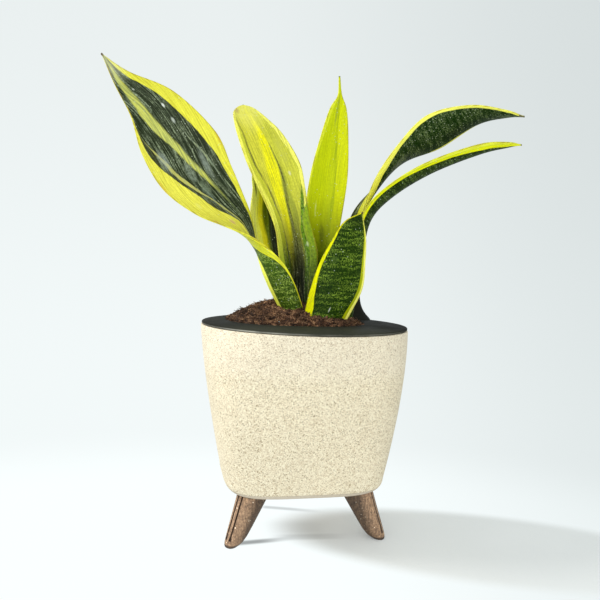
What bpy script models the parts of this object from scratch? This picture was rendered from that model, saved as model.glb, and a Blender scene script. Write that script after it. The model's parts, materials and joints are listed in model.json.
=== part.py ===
"""Potted golden hahnii snake plant in a self-watering planter on three legs.

The frame has +Z up, the floor at Z = 0 and the pot's centre over the origin.
The front of the planter faces -Y. Lengths below are in millimetres, and MM turns
them into Blender's metres where a mesh is made.
"""

import math
from dataclasses import dataclass

import bmesh
import bpy
import numpy as np
from mathutils import Matrix, Vector

MM = 0.001
GAP = 0.3                    # clearance between a piece and what carries it
CUT_OVERRUN = 3.0            # how far a cutter runs past the face it opens

# Pot
RIM_HALF_WIDTH = 65.0
RIM_HALF_DEPTH = 51.4
RIM_HEIGHT = 126.1
UNDERSIDE_HEIGHT = 27.8
BOTTOM_SHARE = 0.76          # width above the bottom fillet, as a share of the rim's
WALL_CURVE = 1.27            # above 1 the walls swell outwards between bottom and rim
BOTTOM_EXPONENT = 4.1        # plan at the bottom: a rounded rectangle
RIM_EXPONENT = 2.0           # plan at the rim: an ellipse
BOTTOM_FILLET = 8.2
RIM_ROUND = 0.6
POT_WALL = 3.0
POT_FLOOR = 5.5
INNER_LEVELS = (105.0, 80.0, 55.0)   # rings of the pot's inside between its mouth and its floor
INNER_FILLET = 4.0
POT_SIDES = 56
WALL_RINGS = 9
FILLET_RINGS = 5

# Liner
OPENING_CENTRE = (-7.0, 2.0)
OPENING_HALF_WIDTH = 43.0
OPENING_HALF_DEPTH = 31.0
OPENING_EXPONENT = 2.5
OPENING_HEIGHT = 129.3
LIP_INSET = 0.4              # lip's outer edge, in from the pot's
LIP_THICKNESS = 1.5
LIP_ROUND = 0.4
COLLAR_SHARES = (0.8, 0.5, 0.2, 0.05)   # rings of the collar, from the lip (1) to the opening (0)
BASKET_WALL = 1.6
BASKET_FLOOR_HEIGHT = 66.0   # inside of the basket's floor
BASKET_TAPER = 0.8           # floor's size as a share of the opening's
SKIRT_DEPTH = 5.0            # locating skirt inside the pot's mouth
SKIRT_CLEARANCE = 0.6
SKIRT_WALL = 1.8
LINER_SIDES = 48
DRAIN_RADIUS = 2.5
DRAIN_RING = 15.0
DRAIN_COUNT = 6
DRAIN_SIDES = 12

# Filler neck on the liner's collar
NECK_CENTRE = (36.0, 26.5)
NECK_RADIUS = 6.5
NECK_FOOT = 144.0            # the flare ends here
NECK_TOP = 152.0
NECK_ROUND = 0.7
NECK_BORE_RADIUS = 4.8
NECK_FLARE = ((15.4, 127.2), (13.8, 129.7), (11.3, 132.3), (9.0, 135.5), (7.4, 139.5))
NECK_SIDES = 32

# Legs
LEG_PLACES = {               # direction in degrees, and how far in from the corner legs' reach
    "leg_front_left": (213.0, 0.0),
    "leg_front_right": (327.0, 0.0),
    "leg_rear": (90.0, 11.0),
}
LEG_TOP = 40.0               # legs start this high and are then cut to the pot's underside
GROOVE_OFFSET = 1.6          # from the leg's middle to the middle of each groove
GROOVE_WIDTH = 0.9
GROOVE_DEPTH = 1.3
GROOVE_END = 4.0             # height at which the grooves stop
PEG_RADIUS = 4.0
PEG_HEIGHT = 3.0
PEG_REACH = 37.0             # from the pot's centre line to the peg's
PEG_SIDES = 24
LEG_EXPONENT = 2.4
LEG_SIDES = 32

# Soil
MOUND_HEIGHT = 12.0
MOUND_PEAK = (-15.0, 8.0)
MOUND_EXPONENT = 2.2         # above 2 the mound is flatter on top and steeper at its edge
MOUND_RINGS = 9
LUMP_HEIGHT = 0.5
SOIL_EDGE_DROP = 0.8         # the soil's edge lies this far below the opening's
SOIL_ROUND = 0.6

# Leaves
LEAF_COLUMNS = 6             # strips across a blade
LEAF_STEP = 8.0              # length of a row along a blade
EDGE_THICKNESS = 0.9
ROOT_DEPTH = 12.0            # how far a leaf goes on below the soil
SLOT_REACH = 14.0            # how far a slot's cutter stands above the soil
SLOT_GAP = 0.5               # clearance round a leaf in the soil
TIP_HALF_WIDTH = 0.5
THIN_HALF_WIDTH = 5.0        # below this half width a blade thins towards its edge thickness


@dataclass(frozen=True)
class LegStation:
    """One level of a leg: its height and its reach from the pot's centre line."""

    height: float
    outer: float
    inner: float
    half_width: float


LEG_STATIONS = (
    LegStation(LEG_TOP, 43.7, 20.0, 8.8),
    LegStation(27.5, 48.4, 28.0, 7.8),
    LegStation(18.0, 51.7, 34.5, 6.8),
    LegStation(10.0, 54.6, 40.0, 5.9),
    LegStation(5.0, 56.4, 43.6, 5.2),
    LegStation(2.2, 57.3, 46.4, 4.6),
    LegStation(0.7, 57.5, 49.2, 3.8),
    LegStation(0.0, 57.2, 50.8, 3.2),
)


@dataclass(frozen=True)
class Leaf:
    """One leaf, drawn by its two margins from the soil to the tip.

    The inner face looks along (growth direction) x (first margin to second margin).
    A fold is how far the midrib stands behind the margins, as a share of the half width.
    Its values are spread evenly from the soil to the tip.
    """

    name: str
    first: tuple
    second: tuple
    fold: tuple
    thickness: float
    colour: tuple


LEAVES = (
    Leaf(
        "leaf_left",
        first=((-19, -5, 138), (-27, -7, 152), (-32, -5, 165), (-33.3, 6, 179), (-36.6, 8, 194),
               (-42, 7, 206), (-50, 5, 222), (-60.5, 3, 241.4), (-85.5, 1, 261.7), (-111, 0, 270),
               (-126, -1, 278)),
        second=((-4, -7, 138), (-11, -12, 153), (-20, -15, 166), (-36, -17, 178), (-55, -14, 185),
                (-71.3, -10, 191), (-89.7, -8, 203.7), (-102.1, -6, 223), (-109, -4, 244),
                (-118.5, -2, 261.5), (-126, -1, 278)),
        fold=(0.5, 0.4, 0.15, 0.15, 0.2, 0.15), thickness=2.8, colour=(0.10, 0.17, 0.08),
    ),
    Leaf(
        "leaf_centre",
        first=((4, 4, 141), (7.5, 8, 170), (1.8, 10, 192), (-2, 12, 213), (-6, 14, 229), (-17, 17, 246),
               (-28, 18, 255.5), (-34.5, 20, 260.3), (-38.5, 21.3, 262), (-42.4, 21.8, 262.4)),
        second=((-12, 0, 140), (-19, -1, 168), (-23, -2, 187), (-33, -1, 208), (-41, 1, 224),
                (-47, 5, 241), (-49, 10, 250.5), (-49, 15, 256.5), (-46, 19, 260.6),
                (-42.4, 21.8, 262.4)),
        fold=(0.5, 0.4, 0.3, 0.15, 0.05), thickness=2.6, colour=(0.62, 0.64, 0.05),
    ),
    Leaf(
        "leaf_upright",
        first=((18, 12, 142), (20, 15, 167), (25, 18, 198), (28, 20, 224), (27, 20, 250), (25, 20, 266),
               (21, 19, 275), (19, 18, 286)),
        second=((3, 9, 142), (5, 12, 166), (0, 14, 198), (2, 16, 222), (8, 17, 248), (13, 17, 265),
                (18, 18, 274), (18, 18, 286)),
        fold=(0.45, 0.2), thickness=2.6, colour=(0.55, 0.65, 0.04),
    ),
    Leaf(
        "leaf_back",
        first=((-3, 12, 141), (-9, 15, 173), (-11, 18, 195), (-15, 20, 211), (-21, 20, 225),
               (-28, 20, 237)),
        second=((-17, 9, 141), (-33, 11, 176), (-36, 14, 194), (-35, 15, 209), (-35, 18, 221),
                (-28, 20, 237)),
        fold=(0.7, 0.4), thickness=2.4, colour=(0.45, 0.47, 0.05),
    ),
    Leaf(
        "leaf_right_high",
        first=((27, 7, 142), (27, 3, 175), (33, -2, 200), (37.5, -8, 219.3), (48, -14, 239),
               (64, -20, 258), (88, -27, 265), (111, -29, 264), (126, -26, 262)),
        second=((23, 17, 142), (26, 17, 175), (31, 15, 199), (45, 12, 217), (62, 7, 233.5),
                (83, 0, 243), (103, -10, 258), (118, -20, 262), (126, -26, 262)),
        fold=(0.5, 0.4, 0.15, 0.15, 0.15), thickness=2.5, colour=(0.08, 0.15, 0.06),
    ),
    Leaf(
        "leaf_right_low",
        first=((23, -7, 141), (26, -9, 175), (30, -12, 198), (41, -16, 213), (64, -21, 229.3),
               (95, -27, 242.2), (114, -29, 245), (126, -25, 245)),
        second=((30, 4, 141), (33, 8, 174), (37.5, 10, 196.5), (53, 7, 214.3), (77, 2, 230),
                (105, -8, 242), (120, -17, 246), (126, -25, 245)),
        fold=(0.45, 0.4, 0.35, 0.35), thickness=2.5, colour=(0.10, 0.18, 0.06),
    ),
    Leaf(
        "leaf_front",
        first=((-4.6, -13, 134), (-2, -15, 150), (2.8, -17, 167), (8.4, -19, 179), (15, -22, 191.3),
               (25, -25, 197)),
        second=((24, -12, 134), (32, -11, 151), (32.7, -12, 168), (31.5, -15, 181), (28, -20, 191),
                (25, -25, 197)),
        fold=(0.3, 0.15), thickness=2.8, colour=(0.09, 0.18, 0.07),
    ),
)


def material(name, colour, roughness):
    """Returns a new Principled material with one colour and roughness."""
    made = bpy.data.materials.new(name)
    made.use_nodes = True
    shader = made.node_tree.nodes["Principled BSDF"]
    shader.inputs["Base Color"].default_value = (*colour, 1.0)
    shader.inputs["Roughness"].default_value = roughness
    shader.inputs["Metallic"].default_value = 0.0
    made.diffuse_color = (*colour, 1.0)
    return made


def mesh_object(name, points, faces, finish=None):
    """Makes an object from points in millimetres and faces, with a smooth round shading."""
    mesh = bpy.data.meshes.new(name)
    mesh.from_pydata([Vector(p) * MM for p in points], [], faces)
    body = bpy.data.objects.new(name, mesh)
    bpy.context.scene.collection.objects.link(body)
    tidy = bmesh.new()
    tidy.from_mesh(mesh)
    bmesh.ops.recalc_face_normals(tidy, faces=tidy.faces)
    tidy.to_mesh(mesh)
    tidy.free()
    mesh.shade_smooth()
    mesh.set_sharp_from_angle(angle=math.radians(40.0))
    if finish is not None:
        mesh.materials.append(finish)
    return body


def oval(centre, half_width, half_depth, exponent, height, sides):
    """Returns one ring of points on a superellipse that lies level."""
    ring = []
    for step in range(sides):
        angle = 2.0 * math.pi * step / sides
        across, along = math.cos(angle), math.sin(angle)
        ring.append((
            centre[0] + half_width * math.copysign(abs(across) ** (2.0 / exponent), across),
            centre[1] + half_depth * math.copysign(abs(along) ** (2.0 / exponent), along),
            height,
        ))
    return ring


def disc(centre, radius, height, sides):
    """Returns one level ring of points on a circle."""
    return oval(centre, radius, radius, 2.0, height, sides)


def stack(name, rings, finish=None):
    """Joins rings of equal length into one closed solid, with a fan over each end."""
    sides = len(rings[0])
    points = [point for ring in rings for point in ring]
    faces = []
    for level in range(len(rings) - 1):
        low, high = level * sides, (level + 1) * sides
        for step in range(sides):
            after = (step + 1) % sides
            faces.append((low + step, low + after, high + after, high + step))
    for level in (0, len(rings) - 1):
        ring = rings[level]
        points.append(tuple(sum(axis) / sides for axis in zip(*ring)))
        hub = len(points) - 1
        start = level * sides
        faces += [(hub, start + step, start + (step + 1) % sides) for step in range(sides)]
    return mesh_object(name, points, faces, finish)


def combine(body, other, operation):
    """Applies an exact Boolean of the other object to the body and removes the other."""
    cut = body.modifiers.new(operation.title(), "BOOLEAN")
    cut.operation = operation
    cut.solver = "EXACT"
    cut.object = other
    depsgraph = bpy.context.evaluated_depsgraph_get()
    result = bpy.data.meshes.new_from_object(body.evaluated_get(depsgraph))
    body.modifiers.clear()
    body.data = result
    bpy.data.objects.remove(other)


def pot_ring(height, grow):
    """Returns the pot's outer ring at a height, grown outwards by a distance."""
    wall_foot = UNDERSIDE_HEIGHT + BOTTOM_FILLET
    rise = min(max((height - wall_foot) / (RIM_HEIGHT - wall_foot), 0.0), 1.0)
    share = BOTTOM_SHARE + (1.0 - BOTTOM_SHARE) * (1.0 - (1.0 - rise) ** WALL_CURVE)
    exponent = BOTTOM_EXPONENT + (RIM_EXPONENT - BOTTOM_EXPONENT) * rise
    return oval((0, 0), RIM_HALF_WIDTH * share + grow, RIM_HALF_DEPTH * share + grow,
                exponent, height, POT_SIDES)


def pot_outside(grow):
    """Returns the rings of the pot's outer surface, from the underside to the rim."""
    rings = []
    for step in range(FILLET_RINGS, 0, -1):
        turn = math.pi / 2.0 * step / FILLET_RINGS
        inset = BOTTOM_FILLET * (1.0 - math.cos(turn))
        drop = (BOTTOM_FILLET + grow) * math.sin(turn)
        rings.append(oval(
            (0, 0),
            RIM_HALF_WIDTH * BOTTOM_SHARE - inset + grow * math.cos(turn),
            RIM_HALF_DEPTH * BOTTOM_SHARE - inset + grow * math.cos(turn),
            BOTTOM_EXPONENT,
            UNDERSIDE_HEIGHT + BOTTOM_FILLET - drop,
            POT_SIDES,
        ))
    wall_foot = UNDERSIDE_HEIGHT + BOTTOM_FILLET
    wall_head = RIM_HEIGHT - RIM_ROUND
    for step in range(WALL_RINGS + 1):
        rings.append(pot_ring(wall_foot + (wall_head - wall_foot) * step / WALL_RINGS, grow))
    return rings


def make_pot():
    """Makes the open pot shell, with a blind hole under it for each leg's peg."""
    finish = material("speckled_composite", (0.80, 0.72, 0.55), 0.75)
    rings = pot_outside(0.0)
    rings += [pot_ring(RIM_HEIGHT, -RIM_ROUND), pot_ring(RIM_HEIGHT, RIM_ROUND - POT_WALL)]
    floor_height = UNDERSIDE_HEIGHT + POT_FLOOR
    inner_levels = (RIM_HEIGHT - RIM_ROUND, *INNER_LEVELS, floor_height + INNER_FILLET)
    rings += [pot_ring(level, -POT_WALL) for level in inner_levels]
    rings.append(pot_ring(floor_height, -POT_WALL - INNER_FILLET))
    pot = stack("pot", rings, finish)
    for direction, inset in LEG_PLACES.values():
        hole = peg("hole", direction, inset, PEG_RADIUS + GAP, UNDERSIDE_HEIGHT - CUT_OVERRUN,
                   UNDERSIDE_HEIGHT + PEG_HEIGHT + GAP)
        combine(pot, hole, "DIFFERENCE")
    return pot


def peg(name, direction, inset, radius, low, high):
    """Returns an upright round peg where a leg meets the pot."""
    angle = math.radians(direction)
    reach = PEG_REACH - inset
    centre = (reach * math.cos(angle), reach * math.sin(angle))
    return stack(name, [disc(centre, radius, level, PEG_SIDES) for level in (low, high)])


def make_leg(name, direction, inset, finish):
    """Makes one splayed leg: an oval fin with two grooves, cut to the pot, with a peg."""
    angle = math.radians(direction)
    turn = Matrix.Rotation(angle, 4, "Z")
    rings = []
    for station in LEG_STATIONS:
        middle = (station.outer + station.inner) / 2.0 - inset
        reach = (station.outer - station.inner) / 2.0
        ring = oval((middle, 0.0), reach, station.half_width, LEG_EXPONENT, station.height, LEG_SIDES)
        rings.append([tuple(turn @ Vector(point)) for point in ring])
    leg = stack(name, rings, finish)
    combine(leg, stack("pot_form", pot_outside(GAP)), "DIFFERENCE")
    for side in (-1.0, 1.0):
        combine(leg, groove_cutter(turn, inset, side * GROOVE_OFFSET), "DIFFERENCE")
    foot, top = UNDERSIDE_HEIGHT - CUT_OVERRUN, UNDERSIDE_HEIGHT + PEG_HEIGHT
    combine(leg, peg("peg", direction, inset, PEG_RADIUS, foot, top), "UNION")
    return leg


def groove_cutter(turn, inset, offset):
    """Returns a thin slab that runs down a leg's outer edge, a groove's depth inside it."""
    upper, lower = LEG_STATIONS[0], LEG_STATIONS[4]
    slope = (lower.outer - upper.outer) / (upper.height - lower.height)
    low_reach = lower.outer + slope * (lower.height - GROOVE_END)
    rings = []
    for height, reach in ((GROOVE_END, low_reach - inset), (upper.height, upper.outer - inset)):
        inner, outer = reach - GROOVE_DEPTH, reach + CUT_OVERRUN
        sides = (offset - GROOVE_WIDTH / 2.0, offset + GROOVE_WIDTH / 2.0)
        corners = ((inner, sides[0]), (outer, sides[0]), (outer, sides[1]), (inner, sides[1]))
        rings.append([tuple(turn @ Vector((u, v, height))) for u, v in corners])
    return stack("groove", rings)


def lip_ring(inset, height):
    """Returns a level ring that lies inside the pot's rim outline by an inset."""
    return oval((0, 0), RIM_HALF_WIDTH - inset, RIM_HALF_DEPTH - inset, RIM_EXPONENT, height, LINER_SIDES)


def collar_ring(share, height):
    """Returns a ring on the collar, between the opening (0) and the lip's edge (1)."""
    inner = oval(OPENING_CENTRE, OPENING_HALF_WIDTH, OPENING_HALF_DEPTH, OPENING_EXPONENT,
                 height, LINER_SIDES)
    outer = lip_ring(LIP_INSET, height)
    return [tuple(a + (b - a) * share for a, b in zip(p, q)) for p, q in zip(inner, outer)]


def basket_ring(height, grow):
    """Returns a ring of the tapered basket at a height, grown outwards by a distance."""
    rise = (height - BASKET_FLOOR_HEIGHT) / (OPENING_HEIGHT - BASKET_FLOOR_HEIGHT)
    share = BASKET_TAPER + (1.0 - BASKET_TAPER) * min(rise, 1.0)
    return oval(OPENING_CENTRE, OPENING_HALF_WIDTH * share + grow, OPENING_HALF_DEPTH * share + grow,
                OPENING_EXPONENT, height, LINER_SIDES)


def make_liner():
    """Makes the black insert: collar, locating skirt, soil basket and filler neck."""
    finish = material("black_plastic", (0.012, 0.013, 0.014), 0.5)
    lip_low = RIM_HEIGHT + GAP
    lip_high = lip_low + LIP_THICKNESS
    under = lip_low - LIP_ROUND
    skirt_outer = POT_WALL + SKIRT_CLEARANCE
    skirt_inner = skirt_outer + SKIRT_WALL
    skirt_foot = RIM_HEIGHT - SKIRT_DEPTH
    basket_low = BASKET_FLOOR_HEIGHT - BASKET_WALL
    rings = [basket_ring(basket_low, BASKET_WALL), basket_ring(under, BASKET_WALL)]
    for inset, height in (
            (skirt_inner, under), (skirt_inner, skirt_foot), (skirt_outer, skirt_foot),
            (skirt_outer, lip_low), (LIP_INSET + LIP_ROUND, lip_low), (LIP_INSET, lip_low + LIP_ROUND),
            (LIP_INSET, lip_high - LIP_ROUND), (LIP_INSET + LIP_ROUND, lip_high)):
        rings.append(lip_ring(inset, height))
    rise = OPENING_HEIGHT - lip_high
    for share in COLLAR_SHARES:
        rings.append(collar_ring(share, lip_high + rise * math.sin(math.pi / 2.0 * (1.0 - share))))
    liner = stack("liner", rings, finish)
    combine(liner, neck_flare(), "UNION")
    cavity = [basket_ring(level, 0.0) for level in (BASKET_FLOOR_HEIGHT, OPENING_HEIGHT, NECK_TOP)]
    combine(liner, stack("cavity", cavity), "DIFFERENCE")
    bore = [disc(NECK_CENTRE, NECK_BORE_RADIUS, level, NECK_SIDES)
            for level in (skirt_foot, NECK_TOP + CUT_OVERRUN)]
    combine(liner, stack("bore", bore), "DIFFERENCE")
    for step in range(DRAIN_COUNT):
        angle = 2.0 * math.pi * step / DRAIN_COUNT
        centre = (OPENING_CENTRE[0] + DRAIN_RING * math.cos(angle),
                  OPENING_CENTRE[1] + DRAIN_RING * math.sin(angle))
        drain = [disc(centre, DRAIN_RADIUS, level, DRAIN_SIDES)
                 for level in (basket_low - CUT_OVERRUN, BASKET_FLOOR_HEIGHT + CUT_OVERRUN)]
        combine(liner, stack("drain", drain), "DIFFERENCE")
    return liner


def neck_flare():
    """Returns the solid form of the filler neck, a trumpet that rises from the collar."""
    tube = ((NECK_RADIUS, NECK_FOOT), (NECK_RADIUS, NECK_TOP - NECK_ROUND),
            (NECK_RADIUS - NECK_ROUND, NECK_TOP))
    rings = [disc(NECK_CENTRE, radius, height, NECK_SIDES) for radius, height in NECK_FLARE + tube]
    return stack("neck", rings)


def smooth_line(points, places):
    """Reads a smooth curve through points at given places, counted in points from the first."""
    points = np.array(points, float)
    last = len(points) - 1
    slopes = np.empty_like(points)
    slopes[1:-1] = (points[2:] - points[:-2]) / 2.0
    slopes[0] = points[1] - points[0]
    slopes[-1] = points[-1] - points[-2]
    line = []
    for place in places:
        start = min(int(place), last - 1)
        t = place - start
        line.append((2 * t**3 - 3 * t**2 + 1) * points[start] + (t**3 - 2 * t**2 + t) * slopes[start]
                    + (3 * t**2 - 2 * t**3) * points[start + 1] + (t**3 - t**2) * slopes[start + 1])
    return np.array(line)


def blade_rows(leaf):
    """Returns each row's middle, half width, across and facing directions, and place from 0 to 1."""
    middle = (np.array(leaf.first, float) + np.array(leaf.second, float)) / 2.0
    strides = np.linalg.norm(np.diff(middle, axis=0), axis=1)
    places = [0.0]
    for start, stride in enumerate(strides):
        rows = max(2, round(stride / LEAF_STEP))
        places += [start + (row + 1) / rows for row in range(rows)]
    first, second = smooth_line(leaf.first, places), smooth_line(leaf.second, places)
    centres = (first + second) / 2.0
    root = centres[0] - (centres[1] - centres[0]) / np.linalg.norm(centres[1] - centres[0]) * ROOT_DEPTH
    spans = second - first
    halves = np.linalg.norm(spans, axis=1) / 2.0
    across = spans / np.maximum(halves * 2.0, 1e-6)[:, None]
    across[-1] = across[-2]
    centres = np.vstack([root, centres])
    halves = np.concatenate([[halves[0] * 0.8], np.maximum(halves, TIP_HALF_WIDTH)])
    across = np.vstack([across[0], across])
    along = np.gradient(centres, axis=0)
    along -= across * (along * across).sum(axis=1)[:, None]
    along /= np.linalg.norm(along, axis=1)[:, None]
    facing = np.cross(along, across)
    shares = np.concatenate([[0.0], np.array(places) / places[-1]])
    return centres, halves, across, facing, shares


def leaf_solid(name, leaf, finish=None, grow=0.0, rows=None):
    """Lofts a leaf, or the part of it up to a row, grown all round by a distance."""
    centres, halves, across, facing, shares = (part[:rows] for part in blade_rows(leaf))
    columns = np.linspace(-1.0, 1.0, LEAF_COLUMNS + 1)
    bulge = 1.0 - columns**2
    fold = np.interp(shares, np.linspace(0.0, 1.0, len(leaf.fold)), leaf.fold)
    body = leaf.thickness + (EDGE_THICKNESS - leaf.thickness) * shares
    points = []
    for row, centre in enumerate(centres):
        half = halves[row]
        slope = 2.0 * fold[row] * columns
        length = np.hypot(1.0, slope)
        swell = (body[row] - EDGE_THICKNESS) * bulge * min(1.0, half / THIN_HALF_WIDTH)
        thick = EDGE_THICKNESS + swell + 2.0 * grow
        sheet_across = columns * half
        sheet_out = -fold[row] * half * bulge
        for edge, side in ((0, -1.0), (-1, 1.0)):
            sheet_across[edge] += side * grow / length[edge]
            sheet_out[edge] += side * grow * slope[edge] / length[edge]
        lift_across, lift_out = -thick / 2.0 * slope / length, thick / 2.0 / length
        for sign, order in ((1.0, 1), (-1.0, -1)):
            face = (centre + np.outer(sheet_across + sign * lift_across, across[row])
                    + np.outer(sheet_out + sign * lift_out, facing[row]))
            points += list(face[::order])
    if grow:
        length = 2 * len(columns)
        sink = (centres[0] - centres[1]) / np.linalg.norm(centres[0] - centres[1]) * grow
        points[:length] = [point + sink for point in points[:length]]
    return mesh_object(name, points, blade_faces(len(centres), len(columns)), finish)


def blade_faces(rows, columns):
    """Returns a blade's triangles, split alike on both faces, with both ends closed."""
    length = 2 * columns
    faces = []
    for row in range(rows - 1):
        low, high = row * length, (row + 1) * length
        for step in range(length):
            after = (step + 1) % length
            if step < columns - 1:
                faces += [(low + step, low + after, high + after), (low + step, high + after, high + step)]
            else:
                faces += [(low + step, low + after, high + step), (low + after, high + after, high + step)]
    for start in (0, (rows - 1) * length):
        for step in range(columns - 1):
            near, far = start + step, start + length - 1 - step
            faces += [(near, near + 1, far - 1), (near, far - 1, far)]
    return faces


def mound_height(x, y, edge):
    """Returns the soil's height at a place, where edge runs from 0 at the peak to 1 at the rim."""
    lumps = math.sin(0.55 * x + 1.3) * math.sin(0.48 * y) + 0.6 * math.sin(0.93 * x - 0.71 * y)
    mound = MOUND_HEIGHT * (1.0 - edge**MOUND_EXPONENT)
    return OPENING_HEIGHT - SOIL_EDGE_DROP + mound + LUMP_HEIGHT * lumps * (1.0 - edge**4)


def make_soil():
    """Makes the mound of soil in the basket, with a slot for each leaf."""
    finish = material("coir_soil", (0.13, 0.055, 0.03), 0.95)
    floor = BASKET_FLOOR_HEIGHT + GAP
    top = OPENING_HEIGHT - SOIL_EDGE_DROP
    rings = [basket_ring(floor, -GAP - SOIL_ROUND), basket_ring(floor + SOIL_ROUND, -GAP),
             basket_ring(top - SOIL_ROUND, -GAP)]
    border = basket_ring(top, -GAP - SOIL_ROUND)
    for step in range(MOUND_RINGS):
        edge = 1.0 - step / MOUND_RINGS
        ring = []
        for x, y, z in border:
            px = MOUND_PEAK[0] + (x - MOUND_PEAK[0]) * edge
            py = MOUND_PEAK[1] + (y - MOUND_PEAK[1]) * edge
            ring.append((px, py, mound_height(px, py, edge)))
        rings.append(ring)
    soil = stack("soil", rings, finish)
    for leaf in LEAVES:
        combine(soil, leaf_solid("slot", leaf, grow=SLOT_GAP, rows=slot_rows(leaf)), "DIFFERENCE")
    return soil


def slot_rows(leaf):
    """Returns how many of a leaf's rows its slot's cutter needs to clear the soil."""
    centres = blade_rows(leaf)[0]
    return next(row for row, centre in enumerate(centres) if centre[2] > centres[1][2] + SLOT_REACH) + 1


def main():
    """Clears the scene and makes every piece of the plant and its planter."""
    for old in list(bpy.data.objects):
        bpy.data.objects.remove(old)
    make_pot()
    wood = material("wood_composite", (0.24, 0.15, 0.09), 0.7)
    for name, (direction, inset) in LEG_PLACES.items():
        make_leg(name, direction, inset, wood)
    make_liner()
    make_soil()
    for leaf in LEAVES:
        leaf_solid(leaf.name, leaf, material(leaf.name, leaf.colour, 0.45))


main()
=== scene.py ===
"""Looks of the potted golden hahnii snake plant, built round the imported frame.

Sizes in the dataclasses are millimetres, and MM turns them into metres where a mesh is
made. Every piece keeps its object at the origin: +Z is up and the front faces -Y.
Colours are written as they are seen, from 0 to 255, and tone() turns them into light.
"""
import json
import logging
import math
from dataclasses import dataclass, field
from enum import Enum

import bmesh
import bpy
import numpy as np
from mathutils import Matrix, Vector

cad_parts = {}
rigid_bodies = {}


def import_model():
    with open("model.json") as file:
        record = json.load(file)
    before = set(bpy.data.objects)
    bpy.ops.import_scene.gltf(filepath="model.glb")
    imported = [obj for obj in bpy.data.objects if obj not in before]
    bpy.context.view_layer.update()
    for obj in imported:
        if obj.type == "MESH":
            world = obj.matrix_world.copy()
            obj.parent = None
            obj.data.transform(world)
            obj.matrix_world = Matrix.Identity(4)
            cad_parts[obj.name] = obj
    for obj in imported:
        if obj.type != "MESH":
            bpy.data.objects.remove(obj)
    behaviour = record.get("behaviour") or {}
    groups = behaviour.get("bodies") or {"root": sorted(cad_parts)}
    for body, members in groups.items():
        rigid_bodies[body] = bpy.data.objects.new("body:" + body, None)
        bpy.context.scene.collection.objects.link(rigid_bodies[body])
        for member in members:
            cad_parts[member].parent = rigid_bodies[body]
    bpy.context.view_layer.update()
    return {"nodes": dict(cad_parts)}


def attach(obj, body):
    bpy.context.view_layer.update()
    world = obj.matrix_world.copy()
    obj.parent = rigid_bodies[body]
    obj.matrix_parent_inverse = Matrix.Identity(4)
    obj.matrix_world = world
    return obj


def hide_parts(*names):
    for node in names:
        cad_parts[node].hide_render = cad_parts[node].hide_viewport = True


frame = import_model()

LOG = logging.getLogger("plant")
MM = 0.001
BODY = "root"
ROUND = 2.0  # exponent of a round or elliptical plan
EDGES_EACH = 3  # lane edges that one vector attribute holds
DRY_TIP = (92, 74, 46)
DRY_FROM = 0.985  # share of a leaf's length where its dry tip starts
DRY_FADE = 0.012  # share over which it comes in

Colour = tuple[float, float, float]
Point = tuple[float, float, float]
Edge = tuple[tuple[float, float], ...]
Line = tuple[Point, ...]
Rows = dict[str, np.ndarray]
Piece = bpy.types.Object
Material = bpy.types.Material
Socket = bpy.types.NodeSocket
Value = Socket | float
Shade = Socket | Colour


def tone(red: float, green: float, blue: float) -> tuple[float, float, float, float]:
    """Turns a seen colour into linear light.

    Args:
        red: red from 0 to 255.
        green: green from 0 to 255.
        blue: blue from 0 to 255.

    Returns:
        The linear colour with full opacity.
    """
    shares = [value / 255.0 for value in (red, green, blue)]
    linear = [s / 12.92 if s <= 0.04045 else ((s + 0.055) / 1.055) ** 2.4 for s in shares]
    return (linear[0], linear[1], linear[2], 1.0)


# Materials


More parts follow.
